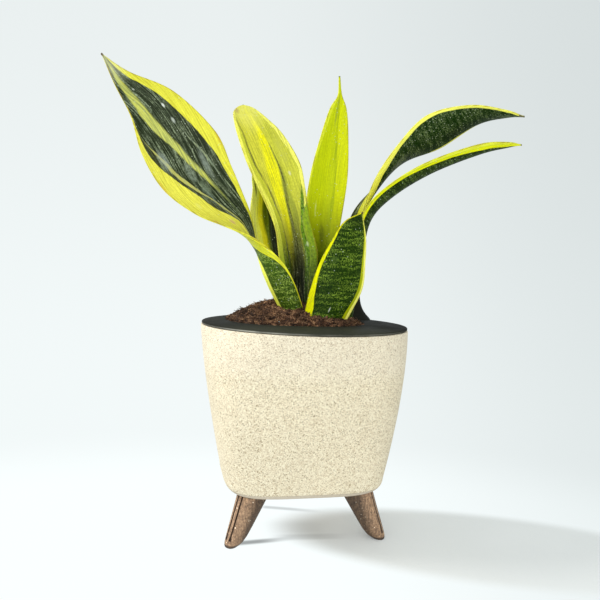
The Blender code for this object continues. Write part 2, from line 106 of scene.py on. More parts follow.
class Nodes:
    """A node tree with short ways to add to it."""

    def __init__(self, tree: bpy.types.NodeTree) -> None:
        """Keeps the tree."""
        self.tree = tree

    def node(self, kind: str, inputs: dict[str | int, object], **settings: object) -> bpy.types.Node:
        """Adds a node.

        Args:
            kind: the node's type, without its ShaderNode start.
            inputs: values or sockets by input name or number.
            settings: the node's own properties.

        Returns:
            The new node.
        """
        made = self.tree.nodes.new("ShaderNode" + kind)
        for key, value in settings.items():
            setattr(made, key, value)
        for key, value in inputs.items():
            if isinstance(value, Socket):
                self.tree.links.new(value, made.inputs[key])
            else:
                made.inputs[key].default_value = value
        return made

    def object_place(self) -> Socket:
        """Returns the place on the object in metres."""
        return self.node("TexCoord", {}).outputs["Object"]

    def attribute(self, name: str) -> Socket:
        """Returns a vector attribute of the piece."""
        return self.node("Attribute", {}, attribute_name=name).outputs["Vector"]

    def axis(self, vector: Socket, which: str) -> Socket:
        """Returns one axis, X, Y or Z, of a vector."""
        return self.node("SeparateXYZ", {0: vector}).outputs[which]

    def stretch(self, vector: Socket, scale: Point, shift: Point = (0, 0, 0)) -> Socket:
        """Scales a vector along its axes and shifts it.

        Args:
            vector: the vector.
            scale: a factor for each axis.
            shift: what is added after it.

        Returns:
            The new vector.
        """
        made = self.node("VectorMath", {0: vector, 1: scale, 2: shift}, operation="MULTIPLY_ADD")
        return made.outputs["Vector"]

    def offset(self, place: Socket, point: Point) -> Socket:
        """Returns the vector from a point in millimetres to a place in metres."""
        return self.stretch(place, (1, 1, 1), tuple(-value * MM for value in point))

    def measure(self, kind: str, vector: Socket, other: Point = (0, 0, 0)) -> Socket:
        """Returns the value that a kind of vector arithmetic finds, such as a LENGTH or a DOT_PRODUCT."""
        return self.node("VectorMath", {0: vector, 1: other}, operation=kind).outputs["Value"]

    def noise(self, vector: Socket, scale: float, detail: float, rough: float, warp: float = 0.0) -> Socket:
        """Returns soft noise from 0 to 1.

        Args:
            vector: where the noise is read.
            scale: how many lumps a unit holds.
            detail: how many finer layers it has.
            rough: how strong the finer layers are.
            warp: how far the noise bends itself.

        Returns:
            The noise's value.
        """
        made = self.node("TexNoise", {"Vector": vector, "Scale": scale, "Detail": detail,
                                      "Roughness": rough, "Distortion": warp})
        return made.outputs[0]

    def cells(self, vector: Socket, scale: float) -> tuple[Socket, Socket]:
        """Reads a texture of irregular cells.

        Args:
            vector: where the cells are read.
            scale: how many cells a unit holds.

        Returns:
            The distance from the cell's middle, and a value that is random in each cell.
        """
        made = self.node("TexVoronoi", {"Vector": vector, "Scale": scale, "Randomness": 1.0})
        return made.outputs["Distance"], self.axis(made.outputs["Color"], "X")

    def sum(self, kind: str, first: Value, second: Value = 0.0, third: Value = 0.0) -> Socket:
        """Returns a piece of arithmetic on values.

        Args:
            kind: the operation, such as ADD or MULTIPLY_ADD.
            first: the first value or socket.
            second: the second.
            third: the third, where the operation has one.

        Returns:
            The result's socket.
        """
        return self.node("Math", {0: first, 1: second, 2: third}, operation=kind).outputs[0]

    def times(self, first: Value, *others: Value) -> Socket:
        """Multiplies values.

        Args:
            first: the first value or socket.
            others: the rest.

        Returns:
            The product.
        """
        for other in others:
            first = self.sum("MULTIPLY", first, other)
        return first

    def fade(self, value: Socket, start: float, end: float, low: float = 0.0, high: float = 1.0) -> Socket:
        """Returns a smooth change from low at start to high at end.

        Args:
            value: the value that is read.
            start: where the change starts.
            end: where it ends.
            low: the result before it.
            high: the result after it.

        Returns:
            The result's socket.
        """
        made = self.node("MapRange", {"Value": value, "From Min": start, "From Max": end,
                                      "To Min": low, "To Max": high}, interpolation_type="SMOOTHSTEP")
        return made.outputs["Result"]

    def ramp(self, value: Socket, stops: list[tuple[float, Colour]]) -> Socket:
        """Returns a colour that runs evenly through stops.

        Args:
            value: the value that is read, from 0 to 1.
            stops: pairs of a place and a seen colour.

        Returns:
            The colour's socket.
        """
        made = self.node("ValToRGB", {0: value})
        scale = made.color_ramp
        scale.interpolation = "LINEAR"
        while len(scale.elements) < len(stops):
            scale.elements.new(1.0)
        for element, (place, colour) in zip(scale.elements, stops):
            element.position = place
            element.color = tone(*colour)
        return made.outputs["Color"]

    def mix(self, share: Value, first: Shade, second: Shade) -> Socket:
        """Returns a mix of two colours.

        Args:
            share: how much of the second colour shows.
            first: the first seen colour or socket.
            second: the second.

        Returns:
            The colour's socket.
        """
        ends = [colour if isinstance(colour, Socket) else tone(*colour) for colour in (first, second)]
        return self.node("Mix", {0: share, 6: ends[0], 7: ends[1]}, data_type="RGBA").outputs[2]

    def brighten(self, colour: Socket, factor: Socket) -> Socket:
        """Returns a colour whose light is multiplied by a value."""
        return self.node("VectorMath", {0: colour, "Scale": factor}, operation="SCALE").outputs[0]


class Paint(Nodes):
    """One material's nodes, built round its Principled shader."""

    def __init__(self, name: str, roughness: float, specular: float) -> None:
        """Starts a material.

        Args:
            name: the material's name.
            roughness: the shader's plain roughness.
            specular: the shader's specular level.
        """
        self.material = bpy.data.materials.new(name)
        self.material.use_nodes = True
        super().__init__(self.material.node_tree)
        self.colour: Shade = (255, 255, 255)
        self.surface = self.tree.nodes["Principled BSDF"]
        self.surface.inputs["Roughness"].default_value = roughness
        self.surface.inputs["Specular IOR Level"].default_value = specular

    def bump(self, height: Socket, depth: float, strength: float) -> None:
        """Raises the surface's shading.

        Args:
            height: the relief from 0 to 1.
            depth: its full height in metres.
            strength: how much of it shows.
        """
        made = self.node("Bump", {"Height": height, "Distance": depth, "Strength": strength})
        self.tree.links.new(made.outputs["Normal"], self.surface.inputs["Normal"])

    def grain(self, blade: Socket, scale: tuple[float, float], shift: tuple[float, float],
              detail: float, rough: float, warp: float = 0.0) -> Socket:
        """Returns noise that is stretched along a leaf.

        Args:
            blade: the places across and along the leaf in millimetres.
            scale: how many lumps a millimetre holds across and along.
            shift: what is added to the places, so that no two noises match.
            detail: how many finer layers it has.
            rough: how strong the finer layers are.
            warp: how far the noise bends itself.

        Returns:
            The noise's value.
        """
        return self.noise(self.stretch(blade, (*scale, 0.0), (*shift, 0.0)), 1.0, detail, rough, warp)

    def shade(self, value: Socket, start: float, end: float, low: float, high: float) -> None:
        """Multiplies the colour's light by a smooth change, which runs as in fade()."""
        self.colour = self.brighten(self.colour, self.fade(value, start, end, low, high))

    def layer(self, share: Socket, colour: Shade) -> None:
        """Lays a share of another colour over the colour so far."""
        self.colour = self.mix(share, self.colour, colour)

    def tip(self, share: Socket, start: float, colour: Colour) -> None:
        """Dries a leaf's tip, which starts at a share of the length."""
        self.layer(self.fade(share, start, min(start + DRY_FADE, 1.0)), colour)

    def finish(self, roughness: Socket | None = None) -> Material:
        """Joins the colour and the roughness to the shader.

        Args:
            roughness: the surface's roughness, where it varies.

        Returns:
            The finished material.
        """
        self.tree.links.new(self.colour, self.surface.inputs["Base Color"])
        if roughness is not None:
            self.tree.links.new(roughness, self.surface.inputs["Roughness"])
        return self.material


@dataclass(frozen=True)
class SpeckledComposite:
    """Warm sandstone-like pot body with fine pale and dark grains, painted light near the rim and a band of
    painted shade at its foot.
    """

    grain: float = 0.44
    pale: Colour = (244, 234, 207)
    base: Colour = (227, 213, 184)
    tan: Colour = (207, 189, 158)
    dark: Colour = (158, 139, 110)
    # Painted light: the wall turns paler and greyer towards the rim, and is painted a little darker below
    # that as painted shade.
    upper_light_tone: Colour = (226, 217, 208)
    upper_light_from: float = 97.0
    upper_light_to: float = 109.0
    upper_light: float = 0.16
    # Painted shade: a greyer band on the downturned bottom edge.
    foot_shade_tone: Colour = (198, 185, 167)
    seam: Colour = (132, 118, 104)
    foot_shade_top: float = 31.6
    foot_shade_blur: float = 0.12

    def build(self) -> Material:
        """Makes the pot's finish.

        Returns:
            The material.
        """
        paint = Paint("pot_speckle", 0.82, 0.35)
        place = paint.object_place()
        _, pick = paint.cells(place, 1.0 / (self.grain * MM))
        paint.colour = paint.ramp(pick, [
            (0.0, self.dark), (0.06, self.dark), (0.08, self.tan), (0.22, self.tan), (0.3, self.base),
            (0.6, self.base), (0.74, self.pale), (1.0, self.pale)])
        fine = paint.noise(place, 2600.0, 2.0, 0.7)
        paint.shade(fine, 0.25, 0.75, 0.93, 1.06)
        paint.shade(paint.noise(place, 22.0, 2.0, 0.5), 0.3, 0.7, 0.965, 1.02)
        level = paint.axis(place, "Z")
        # Painted light towards the rim, and painted shade a little darker below it.
        upper_light = paint.fade(level, self.upper_light_from * MM, self.upper_light_to * MM)
        paint.layer(paint.times(upper_light, self.upper_light), self.upper_light_tone)
        paint.shade(upper_light, 0.0, 1.0, 0.965, 1.0)
        # Painted shade on the bottom edge, with a thin dark seam at its top.
        low, high = ((self.foot_shade_top + side * self.foot_shade_blur) * MM for side in (-1.0, 1.0))
        paint.layer(paint.fade(level, low, high, 0.8, 0.0), self.foot_shade_tone)
        off = paint.sum("ABSOLUTE", paint.sum("SUBTRACT", level, self.foot_shade_top * MM))
        paint.layer(paint.fade(off, 0.1 * MM, 0.4 * MM, 0.35, 0.0), self.seam)
        paint.bump(paint.sum("ADD", pick, fine), 0.00012, 0.6)
        return paint.finish(paint.fade(fine, 0.3, 0.7, 0.74, 0.9))


@dataclass(frozen=True)
class BlackPlastic:
    """Moulded near-black plastic with a fine satin texture and a little dust.

    The lip's painted highlight fades out over its X range towards the right. As painted light
    and shade, the plastic darkens from the front to the back over the Y range front, and
    towards the right over the X range right.
    """

    base: Colour = (42, 43, 36)
    worn: Colour = (58, 58, 48)
    # Painted highlight along the lip's edge.
    lip_highlight: Colour = (150, 148, 138)
    dust: Colour = (120, 112, 98)
    lip_foot: float = 126.4
    lip_top: float = 127.4
    lip_highlight_span: tuple[float, float] = (-42.0, 0.0)
    front: tuple[float, float] = (-44.0, -18.0)
    right: tuple[float, float] = (30.0, 56.0)

    def build(self) -> Material:
        """Makes the liner's finish.

        Returns:
            The material.
        """
        paint = Paint("liner_black", 0.6, 0.04)
        place = paint.object_place()
        grain = paint.noise(place, 1900.0, 3.0, 0.6)
        cloud = paint.noise(place, 60.0, 3.0, 0.6)
        dust = paint.fade(paint.noise(place, 700.0, 4.0, 0.75), 0.56, 0.8)
        paint.colour = paint.mix(paint.fade(cloud, 0.35, 0.75, 0.0, 0.35), self.base, self.worn)
        paint.layer(paint.times(dust, 0.3), self.dust)
        aside, ahead, level = (paint.axis(place, way) for way in "XYZ")
        # Painted highlight along the lip's edge, strongest at the left.
        foot = paint.fade(level, (self.lip_foot - 0.2) * MM, (self.lip_foot + 0.2) * MM)
        head = paint.fade(level, (self.lip_top - 0.3) * MM, (self.lip_top + 0.1) * MM, 1.0, 0.0)
        left = paint.fade(aside, *(end * MM for end in self.lip_highlight_span), 1.0, 0.25)
        shown = paint.times(left, foot, head, paint.fade(cloud, 0.35, 0.6, 0.25, 0.85))
        paint.layer(shown, self.lip_highlight)
        # Painted light and shade: lighter at the front, darker towards the back and the right.
        paint.shade(ahead, *(end * MM for end in self.front), 1.4, 0.52)
        paint.shade(aside, *(end * MM for end in self.right), 1.0, 0.66)
        paint.bump(grain, 0.00006, 0.7)
        return paint.finish(paint.fade(cloud, 0.3, 0.7, 0.56, 0.7))


@dataclass(frozen=True)
class WoodComposite:
    """Brown wood-fibre composite with coarse streaks down the leg, painted light on its outer edge and
    painted shade in the two grooves there, on its inner side and along its foot.
    """

    dark: Colour = (48, 37, 28)
    base: Colour = (96, 75, 57)
    pale: Colour = (142, 116, 91)
    fleck: Colour = (196, 180, 158)
    # Painted shadow along the bottom of each foot.
    sole: Colour = (52, 40, 32)
    # Painted shade in the grooves.
    groove_shade: Colour = (44, 28, 20)
    # Painted light on the outer edge, fading to painted shade inwards.
    outer_edge_light: float = 2.6
    groove_offset: float = 1.6
    groove_end: float = 3.6
    groove_blur: float = 0.8

    def build(self) -> Material:
        """Makes the legs' finish, which reads their attribute fin.

        Returns:
            The material.
        """
        paint = Paint("leg_wood_composite", 0.62, 0.4)
        place = paint.object_place()
        streaks = paint.noise(paint.stretch(place, (900.0, 900.0, 130.0)), 1.0, 4.0, 0.65, 0.4)
        lumps = paint.noise(place, 800.0, 4.0, 0.7)
        across, depth, height = (paint.axis(paint.attribute("fin"), way) for way in "XYZ")
        blend = paint.sum("MULTIPLY_ADD", lumps, 0.6, paint.times(streaks, 0.42))
        paint.colour = paint.ramp(blend, [(0.34, self.dark), (0.5, self.base), (0.7, self.pale)])
        away, pick = paint.cells(place, 900.0)
        shown = paint.times(paint.fade(away, 0.2, 0.34, 1.0, 0.0), paint.fade(pick, 0.94, 0.97))
        paint.layer(shown, self.fleck)
        # Painted light on the outer edge and painted shade on the inner side.
        paint.shade(depth, 1.0, 9.0, self.outer_edge_light, 0.72)
        # Painted shade in the two grooves, wider where they end.
        off = paint.sum("SUBTRACT", paint.sum("ABSOLUTE", across), self.groove_offset)
        end = self.groove_end + self.groove_blur
        widening = paint.fade(height, end, self.groove_end + 3.0, 0.4, 0.0)
        off = paint.sum("SUBTRACT", paint.sum("ABSOLUTE", off), widening)
        groove = paint.times(paint.fade(off, 0.4, 0.8, 0.9, 0.0), paint.fade(depth, 1.8, 2.6, 1.0, 0.0),
                             paint.fade(height, self.groove_end, end))
        paint.layer(groove, self.groove_shade)
        # Painted shadow along the bottom of the foot.
        paint.layer(paint.fade(height, 1.0, 2.4, 0.9, 0.0), self.sole)
        paint.bump(blend, 0.0006, 0.6)
        return paint.finish(paint.fade(lumps, 0.35, 0.7, 0.5, 0.78))


@dataclass(frozen=True)
class Coir:
    """Reddish-brown fibrous soil, paler along the fibres and dark in the hollows as painted shade."""

    name: str = "soil_coir"
    dark: Colour = (22, 12, 7)
    base: Colour = (74, 49, 34)
    pale: Colour = (152, 112, 82)
    lift: float = 1.0
    patchy: float = 0.25
    flank: float = 0.68  # how light the soil is at its left end
    flank_span: tuple[float, float] = (-44.0, -20.0)

    def build(self) -> Material:
        """Makes the soil's finish.

        Returns:
            The material.
        """
        paint = Paint(self.name, 0.9, 0.25)
        place = paint.object_place()
        coarse = paint.noise(place, 330.0, 3.0, 0.7)
        fine = paint.noise(place, 1500.0, 3.0, 0.7)
        blend = paint.sum("MULTIPLY_ADD", fine, 0.5, paint.times(coarse, 0.5))
        # The darkest tone, in the low places of the bump, is painted shade in the hollows.
        paint.colour = paint.ramp(blend, [(0.4, self.dark), (0.5, self.base), (0.61, self.pale)])
        clumps = paint.noise(place, 190.0, 2.0, 0.6)
        low, high = ((1.0 + side * self.patchy) * self.lift for side in (-1.0, 1.0))
        paint.shade(clumps, 0.36, 0.64, low, high)
        paint.shade(paint.axis(place, "X"), *(end * MM for end in self.flank_span), self.flank, 1.0)
        paint.bump(blend, 0.0009, 0.8)
        return paint.finish()


@dataclass(frozen=True)
class Grit:
    """Small white mineral grains from the potting mix."""

    pale: Colour = (226, 222, 210)
    grey: Colour = (168, 160, 146)

    def build(self) -> Material:
        """Makes the grit's finish.

        Returns:
            The material.
        """
        paint = Paint("grit_white", 0.8, 0.3)
        grain = paint.noise(paint.object_place(), 2400.0, 2.0, 0.6)
        paint.bump(grain, 0.0001, 0.5)
        paint.colour = paint.mix(paint.fade(grain, 0.4, 0.7), self.pale, self.grey)
        return paint.finish()


class Marking(Enum):
    """What lies over the dark stripes of a leaf's face."""

    STREAKS = "pale streaks that run with the veins, under a dusty sheen"
    BANDS = "pale grainy cross-bands"


@dataclass(frozen=True)
class Lane:
    """One stripe along a leaf's face, up to its far edge.

    The edge is given as (share, place) pairs: share runs from 0 at the soil to 1 at the
    tip, and place from -1 at the first margin to 1 at the second. A broken lane is
    interrupted along the veins. Its low colour fades out from low_start to low_end.
    """

    colour: Colour
    edge: Edge = ((0.0, 1.0), (1.0, 1.0))
    soft: float = 0.2
    broken: float = 0.0
    # The low colour darkens the leaf near the soil: partly the leaf's own darker base, partly painted shade
    # among the leaves.
    low: Colour | None = None
    low_start: float = 0.0
    low_end: float = 0.3


@dataclass(frozen=True)
class Patch:
    """A soft spot on a face, such as a painted sheen, which is a painted highlight, or a worn mark or a
    scratch.

    The centre is a share of the length and a place across, the reach is in millimetres
    across and along the blade, and grain tells how broken up the spot is.
    """

    colour: Colour
    share: float
    place: float
    reach: tuple[float, float]
    amount: float = 0.6
    grain: float = 0.6


@dataclass(frozen=True)
class Skin:
    """The colours of one face of a leaf."""

    lanes: tuple[Lane, ...]
    marking: Marking
    overlay: Colour
    strength: float
    wobble: float = 0.9
    vein_depth: float = 0.18
    roughness: float = 0.42
    gloss: float = 0.1
    grit: float = 0.3
    specks: float = 0.06
    ochre: Colour = (186, 176, 24)
    ochre_amount: float = 0.5
    fleck: Colour = (206, 216, 190)
    outline: Colour = (150, 128, 40)
    tip: Colour = DRY_TIP
    tip_share: float = DRY_FROM
    patches: tuple[Patch, ...] = ()

    def edges(self, shares: np.ndarray, halves: np.ndarray) -> np.ndarray:
        """Finds where each lane ends along a blade.

        Args:
            shares: each point's share of the length.
            halves: each point's half width in millimetres.

        Returns:
            One column per lane's far edge but the last, in millimetres from the midrib.
        """
        lines = [np.interp(shares, *zip(*lane.edge)) * halves for lane in self.lanes[:-1]]
        while len(lines) % EDGES_EACH:
            lines.append(np.zeros_like(shares))
        return np.column_stack(lines)

    def mark(self, piece: Piece, name: str, shares: np.ndarray, halves: np.ndarray) -> None:
        """Writes the lanes' edges on a blade, three to an attribute.

        Args:
            piece: the blade.
            name: the attributes' name, before their number.
            shares: each vertex's share of the length.
            halves: each vertex's half width in millimetres.
        """
        edges = self.edges(shares, halves)
        for number in range(edges.shape[1] // EDGES_EACH):
            start = number * EDGES_EACH
            Bench.write(piece, f"{name}{number}", edges[:, start:start + EDGES_EACH])

    def stripe(self, paint: Paint, across: Socket, share: Socket, gaps: Socket, channel: str) -> None:
        """Paints the lanes one after the other from the first margin.

        Args:
            paint: the face's nodes.
            across: the place across the blade in millimetres.
            share: the share of the length.
            gaps: streaks from 0 to 1 that interrupt the broken lanes.
            channel: the name of the attributes that hold the edges.
        """
        tints = [paint.mix(paint.fade(share, lane.low_start, lane.low_end), lane.low, lane.colour)
                 if lane.low else lane.colour for lane in self.lanes]
        paint.colour = tints[0]
        for number, (before, lane) in enumerate(zip(self.lanes, self.lanes[1:])):
            group, place = divmod(number, EDGES_EACH)
            edge = paint.axis(paint.attribute(f"{channel}{group}"), "XYZ"[place])
            amount = paint.fade(paint.sum("SUBTRACT", across, edge), -before.soft, before.soft)
            if lane.broken:
                amount = paint.times(amount, paint.fade(gaps, 0.4, 0.62, 1.0 - lane.broken, 1.0))
            paint.layer(amount, tints[number + 1])

    def cover(self, paint: Paint, blade: Socket) -> Socket:
        """Finds where the marking shows.

        Args:
            paint: the face's nodes.
            blade: the places across and along the leaf in millimetres.

        Returns:
            A value from 0 to 1.
        """
        if self.marking is Marking.STREAKS:
            lines = paint.grain(blade, (1.25, 0.035), (1.0, 5.0), 3.0, 0.7)
            grains = paint.grain(blade, (2.0, 0.7), (3.0, 2.0), 2.0, 0.6)
            cloud = paint.grain(blade, (0.15, 0.07), (6.0, 1.0), 2.0, 0.6)
            return paint.times(paint.fade(lines, 0.46, 0.6), paint.fade(grains, 0.38, 0.58, 0.3, 1.0),
                               paint.fade(cloud, 0.38, 0.6, 0.25, 1.0))
        cross = paint.grain(blade, (0.06, 0.42), (4.0, 2.0), 2.0, 0.6, 0.4)
        grains = paint.grain(blade, (1.5, 0.85), (0.0, 0.0), 3.0, 0.8)
        cloud = paint.grain(blade, (0.12, 0.09), (9.0, 3.0), 1.0, 0.5)
        return paint.times(paint.fade(cross, 0.42, 0.58, 0.18, 1.0), paint.fade(grains, 0.47, 0.58),
                           paint.fade(cloud, 0.3, 0.6, 0.45, 1.0))

    def spot(self, paint: Paint, patch: Patch, blade: Socket, rows: Rows) -> Socket:
        """Finds where a patch shows.

        Args:
            paint: the face's nodes.
            patch: the patch.
            blade: the places across and along the leaf in millimetres.
            rows: the blade's rows.

        Returns:
            A value that falls from the patch's amount at its middle to 0.
        """
        half, length = (float(np.interp(patch.share, rows["share"], rows[key])) for key in ("half", "length"))
        scale = (1.0 / patch.reach[0], 1.0 / patch.reach[1], 0.0)
        shift = (-patch.place * half * scale[0], -length * scale[1], 0.0)
        away = paint.measure("LENGTH", paint.stretch(blade, scale, shift))
        return paint.fade(away, 0.3, 1.0, patch.amount, 0.0)

    def build(self, name: str, channel: str, rows: Rows) -> Material:
        """Makes the face's material.

        Args:
            name: the material's name.
            channel: the name of the attributes that hold this face's edges.
            rows: the blade's rows, which place the patches.

        Returns:
            The material.
        """
        paint = Paint(name, self.roughness, self.gloss)
        blade = paint.attribute("blade")
        share = paint.axis(blade, "Z")
        fibre = paint.grain(blade, (0.9, 0.022), (3.1, 1.7), 4.0, 0.6)
        vein = paint.grain(blade, (1.9, 0.03), (8.3, 0.4), 3.0, 0.65)
        gaps = paint.grain(blade, (1.0, 0.06), (2.3, 7.1), 2.0, 0.6)
        wander = paint.times(paint.sum("SUBTRACT", fibre, 0.5), self.wobble)
        across = paint.sum("ADD", paint.axis(blade, "X"), wander)
        self.stripe(paint, across, share, gaps, channel)
        red = paint.node("SeparateColor", {0: paint.colour}).outputs["Red"]
        dark = paint.fade(red, 0.1, 0.3, 1.0, 0.0)
        light = paint.sum("SUBTRACT", 1.0, dark)
        dull = paint.times(paint.fade(gaps, 0.46, 0.7), light, self.ochre_amount)
        paint.layer(dull, self.ochre)
        swing = self.vein_depth
        paint.shade(vein, 0.3, 0.7, 1.0 - swing, 1.0 + swing)
        paint.layer(paint.times(self.cover(paint, blade), dark, self.strength), self.overlay)
        rough = paint.grain(blade, (0.9, 0.6), (5.0, 5.0), 2.0, 0.8)
        amount = paint.sum("MULTIPLY_ADD", dark, self.grit * 0.75, self.grit * 0.25)
        grains = paint.times(paint.fade(rough, 0.3, 0.7, -1.0, 1.0), amount)
        paint.colour = paint.brighten(paint.colour, paint.sum("ADD", grains, 1.0))
        broad = paint.grain(blade, (0.5, 0.35), (1.0, 9.0), 3.0, 0.7)
        # Patches lay painted sheen, which is painted highlight, and marks over the face.
        for patch in self.patches:
            broken = paint.fade(broad, 0.35, 0.62, 1.0 - patch.grain, 1.0)
            near = paint.times(self.spot(paint, patch, blade, rows), broken)
            paint.layer(near, patch.colour)
        away, pick = paint.cells(paint.stretch(blade, (1.0, 1.0, 0.0)), 0.8)
        shown = paint.fade(pick, 1.0 - self.specks, 1.02 - self.specks)
        paint.layer(paint.times(paint.fade(away, 0.1, 0.34, 0.6, 0.0), shown), self.fleck)
        rimward = paint.fade(paint.axis(paint.attribute("reach"), "X"), 0.2, 0.75, 0.6, 0.0)
        line = paint.times(rimward, paint.fade(gaps, 0.44, 0.6, 0.25, 1.0))
        paint.layer(line, self.outline)
        paint.tip(share, self.tip_share, self.tip)
        paint.bump(paint.sum("MULTIPLY_ADD", vein, 0.6, paint.times(fibre, 0.8)), 0.00015, 0.4)
        smooth, matt = self.roughness - 0.06, self.roughness + 0.12
        return paint.finish(paint.fade(fibre, 0.3, 0.7, smooth, matt))


@dataclass(frozen=True)
class Rim:
    """The thin edge that runs round a leaf."""

    colour: Colour = (226, 226, 60)
    tip: Colour = DRY_TIP
    tip_share: float = DRY_FROM
    foot: Colour | None = None
    foot_share: float = 0.3
    wear: Colour = (158, 132, 48)

    def build(self, name: str) -> Material:
        """Makes the edge's finish.

        Args:
            name: the material's name.

        Returns:
            The material.
        """
        paint = Paint(name, 0.45, 0.3)
        blade = paint.attribute("blade")
        share = paint.axis(blade, "Z")
        wear = paint.grain(blade, (0.5, 0.35), (0.0, 0.0), 3.0, 0.7)
        paint.colour = self.colour
        if self.foot:
            grown = paint.fade(share, self.foot_share, self.foot_share + 0.04)
            paint.colour = paint.mix(grown, self.foot, self.colour)
        paint.layer(paint.fade(wear, 0.5, 0.72, 0.0, 0.7), self.wear)
        paint.tip(share, self.tip_share, self.tip)
        paint.bump(wear, 0.0001, 0.4)
        return paint.finish()


# Mesh work


class Bench:
    """The workbench: small jobs on meshes that every sub-assembly needs."""

    @staticmethod
    def clear() -> None:
        """Leaves edit mode and deselects everything."""
        if bpy.context.object and bpy.context.object.mode != "OBJECT":
            bpy.ops.object.mode_set(mode="OBJECT")
        for item in bpy.context.view_layer.objects:
            item.select_set(False)

    @classmethod
    def pick(cls, piece: Piece) -> None:
        """Makes a piece the only selected and the active object.

        Args:
            piece: the piece.
        """
        cls.clear()
        piece.select_set(True)
        bpy.context.view_layer.objects.active = piece

    @classmethod
    def rings(cls, name: str, rings: list[np.ndarray]) -> Piece:
        """Extrudes a closed solid from ring to ring.

        Args:
            name: the piece's name.
            rings: rings of points in millimetres, each with the same count.

        Returns:
            The closed solid, with a cap on its first and last ring.
        """
        cls.clear()
        bpy.ops.mesh.primitive_circle_add(vertices=len(rings[0]), fill_type="NGON", location=(0, 0, 0))
        piece = bpy.context.object
        piece.name = piece.data.name = name
        for vertex, point in zip(piece.data.vertices, rings[0]):
            vertex.co = Vector(point) * MM
        bpy.ops.object.mode_set(mode="EDIT")
        bpy.ops.mesh.select_mode(type="FACE")
        bpy.ops.mesh.select_all(action="SELECT")
        before = np.asarray(rings[0], float) * MM
        for ring in rings[1:]:
            bpy.ops.mesh.extrude_region_move()
            shell = bmesh.from_edit_mesh(piece.data)
            ends = [vertex for vertex in shell.verts if vertex.select]
            places = np.array([vertex.co for vertex in ends])
            order = ((places[:, None, :] - before[None, :, :]) ** 2).sum(axis=2).argmin(axis=1)
            after = np.asarray(ring, float) * MM
            for vertex, index in zip(ends, order):
                vertex.co = after[index]
            before = after
        bpy.ops.mesh.select_all(action="SELECT")
        bpy.ops.mesh.normals_make_consistent(inside=False)
        bpy.ops.object.mode_set(mode="OBJECT")
        return piece

    @classmethod
    def merged_copy(cls, node: str, name: str) -> Piece:
        """Copies a CAD node's mesh and joins its loose triangles.

        Args:
            node: the CAD node.
            name: the copy's name.

        Returns:
            The copy.
        """
        piece = frame["nodes"][node].copy()
        piece.data = piece.data.copy()
        piece.name = piece.data.name = name
        piece.parent = None
        piece.matrix_world = Matrix.Identity(4)
        bpy.context.scene.collection.objects.link(piece)
        cls.pick(piece)
        bpy.ops.object.mode_set(mode="EDIT")
        bpy.ops.mesh.select_all(action="SELECT")
        bpy.ops.mesh.remove_doubles(threshold=0.00001)
        bpy.ops.object.mode_set(mode="OBJECT")
        return piece

    @classmethod
    def combine(cls, body: Piece, other: Piece, kind: str) -> None:
        """Joins or cuts a body with another and removes the other.

        Args:
            body: what stays.
            other: the second solid.
            kind: UNION or DIFFERENCE.
        """
        cls.modify(body, "BOOLEAN", operation=kind, solver="EXACT", object=other)
        bpy.data.objects.remove(other)

    @classmethod
    def modify(cls, piece: Piece, kind: str, **settings: object) -> None:
        """Adds a modifier with its settings and applies it.

        Args:
            piece: the piece.
            kind: the modifier's type.
            settings: its properties.
        """
        cls.pick(piece)
        change = piece.modifiers.new(kind, kind)
        for key, value in settings.items():
            setattr(change, key, value)
        bpy.ops.object.modifier_apply(modifier=change.name)

    @classmethod
    def smooth(cls, piece: Piece, angle: float) -> None:
        """Shades a piece smooth, apart from edges sharper than an angle in degrees."""
        cls.pick(piece)
        bpy.ops.object.shade_smooth_by_angle(angle=math.radians(angle))

    @staticmethod
    def write(piece: Piece, name: str, rows: np.ndarray) -> None:
        """Writes a vector attribute on a piece's vertices.

        Args:
            piece: the piece.
            name: the attribute's name.
            rows: three values per vertex.
        """
        layer = piece.data.attributes.new(name, "FLOAT_VECTOR", "POINT")
        layer.data.foreach_set("vector", np.ascontiguousarray(rows, np.float32).ravel())

    @staticmethod
    def link(name: str, data: bpy.types.ID) -> Piece:
        """Adds an object to the scene.

        Args:
            name: its name.
            data: its mesh, light or camera.

        Returns:
            The object.
        """
        made = bpy.data.objects.new(name, data)
        bpy.context.scene.collection.objects.link(made)
        return made

    @staticmethod
    def dress(piece: Piece, *finishes: Material) -> None:
        """Gives a piece its materials.

        Args:
            piece: the piece.
            finishes: the materials, in order.
        """
        piece.data.materials.clear()
        for finish in finishes:
            piece.data.materials.append(finish)

    @staticmethod
    def seat(piece: Piece, slot: str, *nodes: str) -> None:
        """Ties a piece to the planter's body and hides the CAD nodes it stands for.

        Args:
            piece: the piece.
            slot: the record's material slot; it is not used.
            nodes: the CAD nodes that it replaces.
        """
        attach(piece, BODY)
        if nodes:
            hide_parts(*nodes)


def oval(centre: tuple[float, float], half_width: float, half_depth: float, exponent: float,
         height: float, sides: int) -> np.ndarray:
    """Returns one level ring of points on a superellipse.

    Args:
        centre: the middle in X and Y.
        half_width: reach along X.
        half_depth: reach along Y.
        exponent: ROUND for an ellipse, more for a squarer plan.
        height: the ring's level.
        sides: how many points it has.

    Returns:
        The points, one row each.
    """
    angles = np.linspace(0.0, 2.0 * math.pi, sides, endpoint=False)
    across, along = np.cos(angles), np.sin(angles)
    return np.column_stack([
        centre[0] + half_width * np.copysign(np.abs(across) ** (2.0 / exponent), across),
        centre[1] + half_depth * np.copysign(np.abs(along) ** (2.0 / exponent), along),
        np.full(sides, height),
    ])


